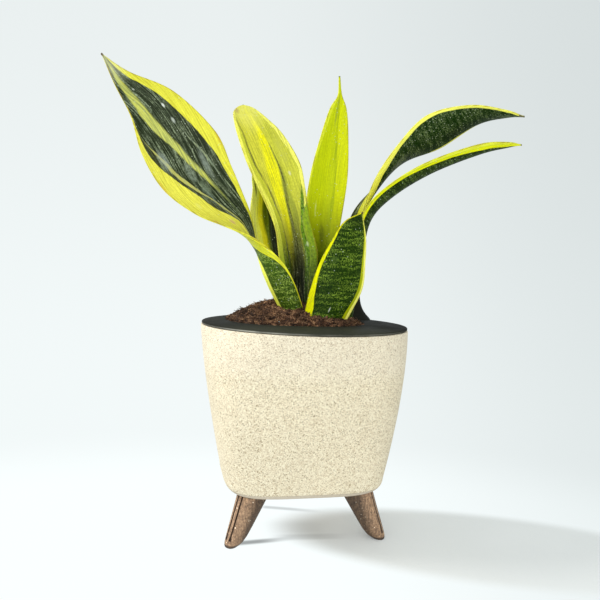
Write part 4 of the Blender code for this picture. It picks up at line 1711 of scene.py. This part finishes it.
LEAVES = (
    Leaf(
        "leaf_left", "leaf_dark",
        first=((-19, -5, 138), (-27, -7, 152), (-32, -5, 165), (-33.3, 6, 179), (-36.6, 8, 194),
            (-42, 7, 206), (-50, 5, 222), (-60.5, 3, 241.4), (-85.5, 1, 261.7), (-111, 0, 270),
            (-126, -1, 278)),
        second=((-4, -7, 138), (-11, -12, 153), (-20, -15, 166), (-36, -17, 178), (-55, -14, 185),
            (-71.3, -10, 191), (-89.7, -8, 203.7), (-102.1, -6, 223), (-109, -4, 244), (-118.5, -2, 261.5),
            (-126, -1, 278)),
        fold=(0.5, 0.4, 0.15, 0.15, 0.2, 0.15), thickness=2.8,
        inner=Skin((
            Lane(YELLOW, trace(0, -90, 340, -93, 450, -84, 530, -85, 590, -81, 640, -77, 680, -67, 720, -63,
                760, -57, 800, -53, 870, -54, 910, -47, 970, -50), soft=0.25),
            Lane(DARK, trace(0, -78, 500, -68, 581, -63, 611, -62, 635, -56, 659, -50, 683, -43, 701, -36,
                740, -30, 800, -20, 950, -10)),
            Lane((124, 138, 114), trace(0, -78, 500, -68, 560, -63, 611, -57, 635, -51, 659, -45, 683, -38,
                701, -33, 740, -30, 800, -20, 950, -10), broken=0.4),
            Lane(DARK, trace(0, -50, 483, -45, 529, -39, 557, -36, 583, -32, 607, -28, 631, -20, 653, -11,
                675, -4, 695, 0, 729, 10, 760, 20, 790, 28, 820, 30, 870, 26, 912, 17, 950, 5), soft=0.9),
            Lane(PALE, trace(0, -50, 479, -42, 523, -35, 551, -30, 571, -25, 593, -19, 615, -12, 635, -3,
                659, 6, 679, 13, 705, 22, 737, 40, 760, 52, 790, 64, 840, 68, 900, 66, 940, 55, 1000, 30),
                soft=0.6, broken=0.45, low=(84, 100, 52), low_start=0.44, low_end=0.66),
            Lane(DARK, trace(0, -50, 377, -32, 419, -22, 471, -13, 507, -5, 535, 5, 559, 14, 587, 23,
                609, 31, 631, 42, 661, 50, 679, 59, 695, 66, 711, 74, 740, 88, 770, 93, 850, 100),
                soft=0.25),
            Lane((188, 187, 106), trace(0, -50, 377, -28, 415, -18, 459, -9, 499, -2, 527, 6, 541, 12,
                559, 22, 583, 31, 603, 41, 625, 48, 639, 54, 657, 58, 673, 63, 687, 68, 703, 73, 740, 88,
                770, 93, 850, 100), broken=0.15),
            Lane((56, 60, 32), trace(0, -40, 377, -22, 409, -10, 441, 0, 463, 10, 489, 20, 519, 27, 535, 28,
                549, 31, 571, 37, 591, 45, 609, 52, 627, 60, 649, 71, 665, 78, 687, 84, 730, 90, 770, 96,
                850, 100)),
            Lane((232, 226, 82)),
        ), Marking.STREAKS, DUSTY, 0.68, patches=(
            Patch((232, 234, 196), 0.98, 0.0, (16.0, 18.0), 0.35, 0.3),
            # These five grey patches are painted sheen, a painted highlight on the face.
            Patch((150, 162, 148), 0.63, -0.4, (2.6, 13.0), 0.6, 0.5),
            Patch((168, 180, 168), 0.67, 0.56, (3.4, 9.0), 0.6),
            Patch((150, 164, 142), 0.62, 0.07, (3.4, 9.0), 0.62, 0.8),
            Patch((120, 136, 124), 0.54, 0.02, (3.0, 10.0), 0.45, 0.8),
            Patch((130, 146, 116), 0.565, -0.06, (3.0, 8.0), 0.45, 0.8),
            Patch((226, 232, 222), 0.788, -0.33, (0.9, 1.9), 0.9, 0.2),
            Patch((206, 214, 200), 0.752, -0.26, (1.2, 2.6), 0.7, 0.5),
            Patch((190, 198, 180), 0.858, 0.06, (0.7, 1.2), 0.7, 0.3),
            Patch((214, 176, 120), 0.403, 0.24, (2.6, 3.2), 0.85, 0.5),
            Patch((190, 140, 70), 0.43, 0.95, (1.6, 2.6), 0.7, 0.4),
            Patch((236, 232, 120), 0.52, 0.62, (1.6, 3.4), 0.7, 0.4),
            Patch((200, 150, 40), 0.68, -0.97, (1.0, 7.0), 0.6, 0.5),
            Patch((196, 150, 40), 0.6, 0.98, (1.0, 8.0), 0.6, 0.5),
        )),
        outer=Skin((
            Lane((236, 240, 90), trace(0, -62, 100, -60, 150, -56, 200, -56, 250, -80, 400, -80,
                1000, -60)),
            Lane((50, 80, 4), trace(0, 90, 120, 90, 190, 78, 224, 60, 260, 28, 300, 10, 380, -10, 450, 10,
                600, 50, 750, 80, 1000, 80), soft=0.25, low=(46, 70, 6)),
            Lane((232, 230, 40), trace(0, 96, 120, 96, 170, 90, 224, 70, 260, 40, 300, 20, 380, 0, 450, 20,
                1000, 90)),
            Lane((216, 221, 52), trace(0, 98, 120, 98, 190, 94, 260, 86, 380, 86, 1000, 95), soft=0.3),
            Lane((248, 248, 58)),
        ), Marking.BANDS, (170, 194, 84), 0.9, specks=0.2),
    ),
    Leaf(
        "leaf_centre", "leaf_yellow",
        first=((4, 4, 141), (7.5, 8, 170), (1.8, 10, 192), (-2, 12, 213), (-6, 14, 229), (-17, 17, 246),
            (-28, 18, 255.5), (-34.5, 20, 260.3), (-38.5, 21.3, 262), (-42.4, 21.8, 262.4)),
        second=((-12, 0, 140), (-19, -1, 168), (-23, -2, 187), (-33, -1, 208), (-41, 1, 224), (-47, 5, 241),
            (-49, 10, 250.5), (-49, 15, 256.5), (-46, 19, 260.6), (-42.4, 21.8, 262.4)),
        fold=(0.5, 0.4, 0.3, 0.15, 0.05), thickness=2.6,
        inner=Skin((
            Lane((130, 162, 4), trace(0, -79, 136, -79, 200, -76, 236, -80, 265, -90, 290, -100),
                low=(56, 76, 0), low_end=0.16),
            Lane((128, 160, 34), trace(0, -73, 136, -73, 200, -70, 236, -74, 265, -87, 290, -100),
                broken=0.5, low=(10, 56, 0), low_end=0.14),
            Lane((243, 240, 106), trace(0, -73, 136, -73, 200, -70, 236, -74, 265, -88, 300, -90, 335, -89,
                420, -90, 460, -87, 500, -85, 540, -82, 800, -82), soft=0.25),
            Lane((92, 130, 2), trace(0, -55, 108, -52, 170, -53, 206, -56, 236, -68, 269, -73, 300, -80,
                335, -86, 370, -90, 420, -90, 460, -87, 500, -85, 540, -82, 800, -82), soft=0.35,
                low=(36, 56, 0), low_end=0.14),
            Lane((200, 201, 63), trace(0, -50, 108, -45, 170, -48, 206, -53, 238, -60, 270, -57, 305, -49,
                343, -44, 387, -43, 433, -37, 465, -33, 540, -30), soft=0.6, low=(20, 50, 0),
                low_start=0.03, low_end=0.3),
            Lane((168, 174, 62), trace(0, -30, 140, -27, 220, -31, 287, -30, 319, -36, 351, -38, 433, -38,
                467, -35, 540, -32, 700, -30), soft=0.5, low=(10, 20, 0), low_start=0.06, low_end=0.34),
            Lane((86, 88, 34), trace(0, -10, 140, -12, 220, -17, 287, -18, 319, -24, 351, -27, 433, -30,
                467, -31, 540, -31, 700, -30), soft=0.4, broken=0.5, low=(2, 8, 0), low_start=0.04,
                low_end=0.28),
            Lane((158, 166, 58), trace(0, 2, 108, 1, 140, -2, 174, -7, 210, -9, 244, -12, 277, -15,
                309, -18, 345, -22, 389, -25, 435, -27, 475, -27, 540, -30), soft=0.7, broken=0.3,
                low=(10, 20, 0), low_start=0.06, low_end=0.34),
            Lane((242, 235, 26), trace(0, 10, 160, 10, 250, 16, 345, 26, 391, 24, 437, 19, 477, 10, 513, 7,
                549, 1, 600, -5, 660, -10), soft=1.6, low=(6, 12, 2), low_start=0.08, low_end=0.32),
            Lane((215, 211, 64), trace(0, 30, 226, 32, 289, 34, 323, 37, 355, 42, 381, 47, 407, 52, 439, 57,
                463, 60, 495, 62, 530, 63, 561, 64, 593, 68, 623, 74, 700, 84), soft=0.3, low=(6, 26, 0),
                low_start=0.04, low_end=0.32),
            Lane((94, 98, 42), trace(0, 36, 226, 42, 289, 45, 323, 48, 355, 53, 381, 58, 407, 64, 439, 69,
                463, 72, 495, 73, 530, 73, 561, 74, 593, 78, 623, 83, 680, 88), soft=0.35, broken=0.6,
                low=(10, 40, 0), low_start=0.04, low_end=0.26),
            Lane((208, 209, 60), trace(0, 66, 242, 69, 289, 66, 337, 74, 397, 85, 459, 88, 515, 88, 625, 87,
                700, 90), soft=0.4, low=(14, 60, 0), low_start=0.04, low_end=0.32),
            Lane((255, 252, 102), low=(124, 157, 0)),
        ), Marking.STREAKS, (150, 152, 110), 0.5, wobble=1.5, vein_depth=0.2, ochre=(168, 172, 48),
            ochre_amount=0.65, grit=0.5, specks=0.05, tip=(104, 92, 48), tip_share=0.965, patches=(
            Patch((234, 230, 112), 0.86, 0.1, (16.0, 24.0), 0.75, 0.4),
            Patch((188, 190, 78), 0.5, -0.62, (3.6, 17.0), 0.6, 0.7),
            Patch((176, 150, 96), 0.79, 0.74, (2.6, 3.2), 0.7, 0.5),
            Patch((224, 222, 180), 0.405, -0.6, (1.1, 2.2), 0.7, 0.4),
            Patch((210, 226, 170), 0.15, -0.69, (0.9, 2.2), 0.8, 0.3),
        )),
        outer=banded(-0.85, (150, 166, 40), 0.85, low=(50, 72, 20)),
        rim=Rim((236, 234, 96), (96, 84, 50), 0.72),
    ),
    Leaf(
        "leaf_upright", "leaf_yellow",
        first=((18, 12, 142), (20, 15, 167), (25, 18, 198), (28, 20, 224), (27, 20, 250), (25, 20, 266),
            (21, 19, 275), (19, 18, 286)),
        second=((3, 9, 142), (5, 12, 166), (0, 14, 198), (2, 16, 222), (8, 17, 248), (13, 17, 265),
            (18, 18, 274), (18, 18, 286)),
        fold=(0.45, 0.2), thickness=2.6,
        inner=Skin((
            Lane((209, 216, 0), trace(0, -50, 275, -55, 321, -56, 391, -50, 459, -45, 523, -39, 600, -30,
                707, -22, 800, -20), soft=0.5, low=(76, 98, 8), low_start=0.06, low_end=0.38),
            Lane((160, 176, 14), trace(0, -36, 275, -42, 391, -38, 459, -34, 523, -24, 600, -16, 707, -2,
                800, 10), soft=0.7, broken=0.35, low=(40, 60, 8), low_end=0.34),
            Lane((194, 206, 12), trace(0, 90, 477, 93, 627, 70, 750, 60, 1000, 60), soft=0.5,
                low=(10, 48, 0), low_start=0.08, low_end=0.39),
            Lane((224, 232, 50), low=(110, 140, 30)),
        ), Marking.STREAKS, (160, 176, 30), 0.35, wobble=1.2, gloss=0.08, vein_depth=0.12,
            ochre=(160, 180, 22), ochre_amount=0.35, specks=0.1, tip=(120, 128, 50), patches=(
            Patch((220, 230, 150), 0.3, 0.44, (0.9, 7.0), 0.55, 0.7),
            Patch((56, 66, 24), 0.22, 0.02, (3.0, 12.0), 0.6, 0.4),
            Patch((136, 150, 60), 0.7, 0.04, (1.2, 14.0), 0.6, 0.5),
        )),
        outer=banded(-0.85, (160, 176, 30), 0.85, low=(60, 84, 24)),
        rim=Rim((214, 220, 44), (120, 128, 50)),
    ),
    Leaf(
        "leaf_back", "leaf_yellow",
        first=((-3, 12, 141), (-9, 15, 173), (-11, 18, 195), (-15, 20, 211), (-21, 20, 225),
            (-28, 20, 237)),
        second=((-17, 9, 141), (-33, 11, 176), (-36, 14, 194), (-35, 15, 209), (-35, 18, 221),
            (-28, 20, 237)),
        fold=(0.7, 0.4), thickness=2.4,
        inner=Skin((
            Lane(SHADE_GREEN, trace(0, -25, 218, -21, 300, -16, 395, -14, 527, -5, 800, -20), soft=1.0),
            Lane(MOSS, trace(0, -10, 259, 0, 325, 14, 393, 25, 447, 24, 527, 18, 800, 10), soft=1.3),
            Lane((240, 228, 40), trace(0, 20, 283, 34, 353, 50, 411, 54, 483, 52, 591, 42, 800, 30),
                soft=0.9),
            Lane((255, 255, 100), trace(0, 60, 291, 61, 347, 66, 407, 67, 479, 66, 587, 60, 665, 46,
                800, 40)),
            Lane((255, 255, 134), trace(0, 72, 343, 73, 405, 74, 477, 78, 611, 84, 713, 76, 800, 80)),
            Lane((255, 255, 128)),
        ), Marking.STREAKS, DUSTY, 0.2, vein_depth=0.2, patches=(
            Patch((62, 44, 50), 0.63, 0.76, (0.9, 7.0), 0.9, 0.2),
        )),
        outer=banded(-0.8, (96, 116, 34), 0.8),
    ),
    Leaf(
        "leaf_right_high", "leaf_dark",
        first=((27, 7, 142), (27, 3, 175), (33, -2, 200), (37.5, -8, 219.3), (48, -14, 239), (64, -20, 258),
            (88, -27, 265), (111, -29, 264), (126, -26, 262)),
        second=((23, 17, 142), (26, 17, 175), (31, 15, 199), (45, 12, 217), (62, 7, 233.5), (83, 0, 243),
            (103, -10, 258), (118, -20, 262), (126, -26, 262)),
        fold=(0.5, 0.4, 0.15, 0.15, 0.15), thickness=2.5,
        inner=Skin((
            Lane(YELLOW, trace(0, -40, 250, 50, 300, 70, 345, 90, 380, 50, 500, -50, 700, -70, 1000, -60),
                soft=0.35),
            Lane((48, 44, 28), trace(0, 30, 250, 66, 300, 82, 360, 95, 500, 30, 1000, 30), soft=0.3),
            Lane((136, 140, 90), trace(0, 36, 250, 72, 300, 87, 360, 97, 500, 36, 1000, 36)),
            Lane(DARK, trace(0, 100, 420, 100, 500, 88, 1000, 80), soft=0.35),
            Lane(YELLOW),
        ), Marking.STREAKS, DUSTY, 0.8),
        outer=Skin((
            Lane((250, 248, 104), trace(0, -50, 250, -40, 300, -30, 340, -34, 373, -49, 403, -62, 427, -60,
                469, -70, 515, -81, 577, -84, 660, -88, 743, -85, 840, -80, 900, -66, 950, -40, 1000, 20)),
            Lane((18, 43, 6), trace(0, 95, 500, 100, 575, 100, 600, 90, 660, 87, 720, 88, 780, 100)),
            Lane((250, 246, 118)),
        ), Marking.BANDS, (140, 158, 104), 0.7, gloss=0.02, grit=0.2, ochre_amount=0.15, specks=0.3,
            tip=(112, 108, 76), tip_share=0.95, patches=(
            Patch((150, 162, 132), 0.47, 0.1, (5.0, 12.0), 0.5, 0.9),
            Patch((24, 38, 14), 0.7, 0.5, (7.0, 20.0), 0.6, 0.4),
            Patch((112, 124, 96), 0.88, 0.2, (3.0, 9.0), 0.5, 0.7),
        )),
        rim=Rim((222, 220, 80), (112, 108, 76), 0.96, (70, 62, 40), 0.37),
    ),
    Leaf(
        "leaf_right_low", "leaf_dark",
        first=((23, -7, 141), (26, -9, 175), (30, -12, 198), (41, -16, 213), (64, -21, 229.3),
            (95, -27, 242.2), (114, -29, 245), (126, -25, 245)),
        second=((30, 4, 141), (33, 8, 174), (37.5, 10, 196.5), (53, 7, 214.3), (77, 2, 230), (105, -8, 242),
            (120, -17, 246), (126, -25, 245)),
        fold=(0.45, 0.4, 0.35, 0.35), thickness=2.5,
        inner=Skin((
            Lane(YELLOW, margin(-0.3), soft=0.35),
            Lane(DARK, margin(0.6), soft=0.35),
            Lane(YELLOW),
        ), Marking.STREAKS, DUSTY, 0.7),
        outer=Skin((
            Lane((232, 237, 68), trace(0, -96, 300, -96, 420, -98, 570, -92, 650, -86, 720, -80, 800, -80,
                1000, -80)),
            Lane((182, 199, 18), trace(0, -93, 300, -93, 420, -96, 500, -93, 571, -88, 650, -82, 720, -76,
                800, -76), broken=0.4),
            Lane((233, 237, 16), trace(0, -85, 293, -84, 357, -85, 419, -88, 461, -87, 503, -86, 551, -79,
                601, -75, 639, -74, 683, -64, 729, -52, 796, -50, 888, -40, 960, 0, 1000, 40)),
            Lane((22, 41, 0)),
        ), Marking.BANDS, (126, 150, 72), 0.6, gloss=0.02, specks=0.16, patches=(
            Patch((20, 32, 12), 0.6, 0.1, (5.0, 40.0), 0.5, 0.4),
        )),
        rim=Rim((206, 208, 70)),
    ),
    Leaf(
        "leaf_front", "leaf_dark",
        first=((-4.6, -13, 134), (-2, -15, 150), (2.8, -17, 167), (8.4, -19, 179), (15, -22, 191.3),
            (25, -25, 197)),
        second=((24, -12, 134), (32, -11, 151), (32.7, -12, 168), (31.5, -15, 181), (28, -20, 191),
            (25, -25, 197)),
        fold=(0.3, 0.15), thickness=2.8,
        inner=banded(-0.75, DEEP, 0.8, 0.6),
        outer=Skin((
            Lane((236, 236, 2), trace(0, -70, 70, -73, 136, -79, 218, -84, 281, -88, 337, -89, 397, -88,
                500, -87, 579, -88, 667, -90, 750, -91, 842, -88, 950, -70)),
            Lane(DEEP, trace(0, 60, 34, 62, 86, 66, 138, 70, 204, 73, 261, 75, 377, 77, 463, 78, 561, 79,
                663, 82, 780, 86, 950, 60), soft=0.25),
            Lane((184, 194, 12), trace(0, 78, 56, 80, 122, 83, 196, 87, 267, 88, 339, 88, 461, 86, 780, 90,
                950, 70), soft=0.25, broken=0.2),
            Lane((255, 252, 118)),
        ), Marking.BANDS, MOTTLE, 0.85, gloss=0.05, specks=0.06, patches=(
            Patch((214, 222, 196), 0.055, -0.12, (0.5, 2.4), 0.8, 0.1),
            Patch((24, 40, 12), 0.85, 0.1, (9.0, 7.0), 0.55, 0.3),
            Patch((96, 124, 50), 0.42, -0.5, (3.0, 3.0), 0.5, 0.7),
        )),
        rim=Rim((228, 228, 80)),
    ),
)


# Studio


@dataclass(frozen=True)
class Backdrop:
    """The pale wall's tones by direction.

    It turns from the left colour to the right one over the X range turn, which leans with
    the height, and its light rises to lift over the Z range drop.
    """

    left: Colour = (234, 240, 240)
    right: Colour = (214, 221, 221)
    turn: tuple[float, float] = (0.1, 0.75)
    lean: float = 0.2
    drop: tuple[float, float] = (0.4, -0.25)
    lift: float = 1.09

    def tones(self, nodes: Nodes, direction: Socket) -> Socket:
        """Finds the wall's colour in a direction.

        Args:
            nodes: the tree that needs it.
            direction: the unit direction as seen by the camera.

        Returns:
            The colour's socket.
        """
        level = nodes.axis(direction, "Z")
        side = nodes.sum("MULTIPLY_ADD", level, self.lean, nodes.axis(direction, "X"))
        colour = nodes.mix(nodes.fade(side, *self.turn), self.left, self.right)
        return nodes.brighten(colour, nodes.fade(level, *self.drop, 1.0, self.lift))


@dataclass(frozen=True)
class FloorShadow:
    """Painted shadow: a soft dark streak on the floor from one place to another.

    Across, it is as dark as its share up to the core and gone at the edge, in millimetres.
    Along, it is full from its lead and fades from its tail, both shares of its length.
    """

    start: Point
    end: Point
    core: float
    edge: float
    share: float
    lead: float
    tail: float

    def shade(self, paint: Paint, place: Socket) -> Socket:
        """Returns how dark the painted shadow is at each place.

        Args:
            paint: the floor's nodes.
            place: the place in metres.

        Returns:
            A value from 0 to the streak's share.
        """
        way = Vector(self.end) - Vector(self.start)
        across = Vector((-way.y, way.x, 0.0)).normalized()
        spot = paint.offset(place, self.start)
        run = paint.measure("DOT_PRODUCT", spot, tuple(way / (way.length_squared * MM)))
        off = paint.measure("DOT_PRODUCT", spot, tuple(across / MM))
        shade = paint.fade(paint.sum("ABSOLUTE", off), self.core, self.edge, self.share, 0.0)
        return paint.times(shade, paint.fade(run, 0.0, self.lead), paint.fade(run, self.tail, 1.0, 1.0, 0.0))


@dataclass(frozen=True)
class PaleFloor:
    """Pale studio floor that fades into the wall away from the plant, with dark streaks of painted shadow by
    its legs.

    The fade is an oval about the middle. Along and across are its axes, each a direction
    divided by its reach in metres, and it runs from clear, where a little of the glow shows,
    to merged. The glow is the wall's tone as the eye sees it, and is lifted where the line of
    sight dips from the first slope of nearing to the second. The glow is painted light that
    covers the floor's shadows away from the middle.
    """

    eye: Point
    backdrop: Backdrop
    pale: Colour = (233, 234, 233)
    dull: Colour = (230, 231, 230)
    middle: Point = (110.0, -50.0, 0.0)
    along: Point = (6.89, -2.74, 0.0)
    across: Point = (7.4, 18.6, 0.0)
    clear: float = 0.6
    glow: float = 0.14
    merged: float = 1.12
    nearing: tuple[float, float] = (-0.27, -0.35)
    lift: float = 1.08
    # Painted shadows by the legs and under the pot.
    streaks: tuple[FloorShadow, ...] = (
        FloorShadow((-43.0, -26.4, 0.0), (-5.0, -23.8, 0.0), 0.8, 4.2, 0.62, 0.04, 0.35),
        FloorShadow((-20.0, 25.4, 0.0), (24.0, 11.4, 0.0), 0.5, 3.8, 0.34, 0.1, 0.4),
        FloorShadow((-24.0, -20.9, 0.0), (34.0, -25.6, 0.0), 1.5, 5.5, 0.21, 0.3, 0.5),
        FloorShadow((-28.0, -8.0, 0.0), (26.0, -12.0, 0.0), 4.0, 18.0, 0.17, 0.45, 0.5),
    )

    def build(self) -> Material:
        """Makes the floor's finish.

        Returns:
            The material.
        """
        paint = Paint("floor_pale", 0.9, 0.1)
        place = paint.object_place()
        grain = paint.noise(place, 14.0, 2.0, 0.5)
        paint.colour = paint.mix(paint.fade(grain, 0.3, 0.7), self.pale, self.dull)
        paint.finish()
        spot = paint.offset(place, self.middle)
        ways = [paint.measure("DOT_PRODUCT", spot, way) for way in (self.along, self.across)]
        away = paint.sum("ADD", *(paint.times(way, way) for way in ways))
        made = paint.node("VectorMath", {0: paint.offset(place, self.eye)}, operation="NORMALIZE")
        sight = made.outputs["Vector"]
        near = paint.fade(paint.axis(sight, "Z"), *self.nearing, 1.0, self.lift)
        wall = paint.brighten(self.backdrop.tones(paint, sight), near)
        glow = paint.node("Emission", {"Color": wall})
        # Painted light: the floor glows with the wall's tone, fully beyond the oval.
        blend = paint.node("MixShader", {
            0: paint.fade(away, self.clear, self.merged, self.glow, 1.0),
            1: paint.surface.outputs[0], 2: glow.outputs[0]})
        surface = blend.outputs[0]
        # Each painted shadow mixes the floor towards black.
        dark = paint.node("Emission", {"Strength": 0.0})
        for streak in self.streaks:
            mixed = paint.node("MixShader", {0: streak.shade(paint, place), 1: surface, 2: dark.outputs[0]})
            surface = mixed.outputs[0]
        paint.tree.links.new(surface, paint.tree.nodes["Material Output"].inputs["Surface"])
        return paint.material


@dataclass(frozen=True)
class Lamp:
    """A soft round light, with its power in watts and its linear colour."""

    name: str
    place: Point
    width: float
    power: float
    colour: Colour

    def build(self, aim: Vector) -> None:
        """Hangs the light.

        Args:
            aim: the place in metres that it looks at.
        """
        data = bpy.data.lights.new(self.name, "AREA")
        data.shape = "DISK"
        data.size = self.width * MM
        data.energy = self.power
        data.color = self.colour
        lamp = Bench.link(self.name, data)
        lamp.location = Vector(self.place) * MM
        lamp.rotation_euler = (aim - lamp.location).to_track_quat("-Z", "Y").to_euler()


@dataclass
class Studio:
    """The pale floor, the soft lights and the camera."""

    eye: Point = (-89.96, -383.24, 171.0)
    right: Point = (0.97320, -0.22484, 0.04820)
    up: Point = (-0.03049, 0.08158, 0.99620)
    forward: Point = (0.22792, 0.97097, -0.07254)
    lens: float = 37.866
    sensor: float = 36.0
    shift: float = -0.01193
    aim: Point = (0.0, 0.0, 130.0)
    floor_radius: float = 900.0
    floor_sides: int = 96
    clip: tuple[float, float] = (0.01, 20.0)
    lamps: tuple[Lamp, ...] = (
        Lamp("key", (-1010.0, 308.0, 920.0), 520.0, 12.0, (1.0, 0.98, 0.96)),
        Lamp("front", (-120.0, -1290.0, 330.0), 900.0, 5.9, (1.0, 0.985, 0.965)),
    )

    def camera(self) -> None:
        """Adds the camera where the photograph was taken from."""
        data = bpy.data.cameras.new("camera")
        data.lens = self.lens
        data.sensor_width = self.sensor
        data.shift_x = self.shift
        data.clip_start, data.clip_end = self.clip
        camera = Bench.link("camera", data)
        back = [-value for value in self.forward]
        turn = Matrix((self.right, self.up, back)).transposed()
        camera.matrix_world = Matrix.Translation(Vector(self.eye) * MM) @ turn.to_4x4()
        bpy.context.scene.camera = camera

    def sky(self, backdrop: Backdrop) -> None:
        """Lights the world.

        Args:
            backdrop: the wall's tones by direction.
        """
        world = bpy.data.worlds.new("studio")
        world.use_nodes = True
        nodes = Nodes(world.node_tree)
        direction = nodes.node("TexCoord", {}).outputs["Generated"]
        shown = nodes.tree.nodes["Background"].inputs["Color"]
        nodes.tree.links.new(backdrop.tones(nodes, direction), shown)
        bpy.context.scene.world = world
        bpy.context.scene.view_settings.view_transform = "Standard"

    def build(self) -> None:
        """Sets up the whole studio."""
        Bench.clear()
        bpy.ops.mesh.primitive_circle_add(vertices=self.floor_sides, radius=self.floor_radius * MM,
                                          fill_type="NGON", location=(0, 0, 0))
        floor = bpy.context.object
        floor.name = "studio_floor"
        backdrop = Backdrop()
        Bench.dress(floor, PaleFloor(self.eye, backdrop).build())
        self.sky(backdrop)
        for lamp in self.lamps:
            lamp.build(Vector(self.aim) * MM)
        self.camera()


def main() -> None:
    """Builds every piece in order and reports each."""
    logging.basicConfig(level=logging.INFO, format="%(name)s: %(message)s")
    pot = Pot()
    liner = Liner(pot)
    made = [pot.build(), liner.build(), *Legs().build(), *Soil(liner).build()]
    made += [leaf.build() for leaf in LEAVES]
    for piece in made:
        LOG.info("%s: %d faces", piece.name, len(piece.data.polygons))
    Studio().build()


if __name__ == "__main__":
    main()
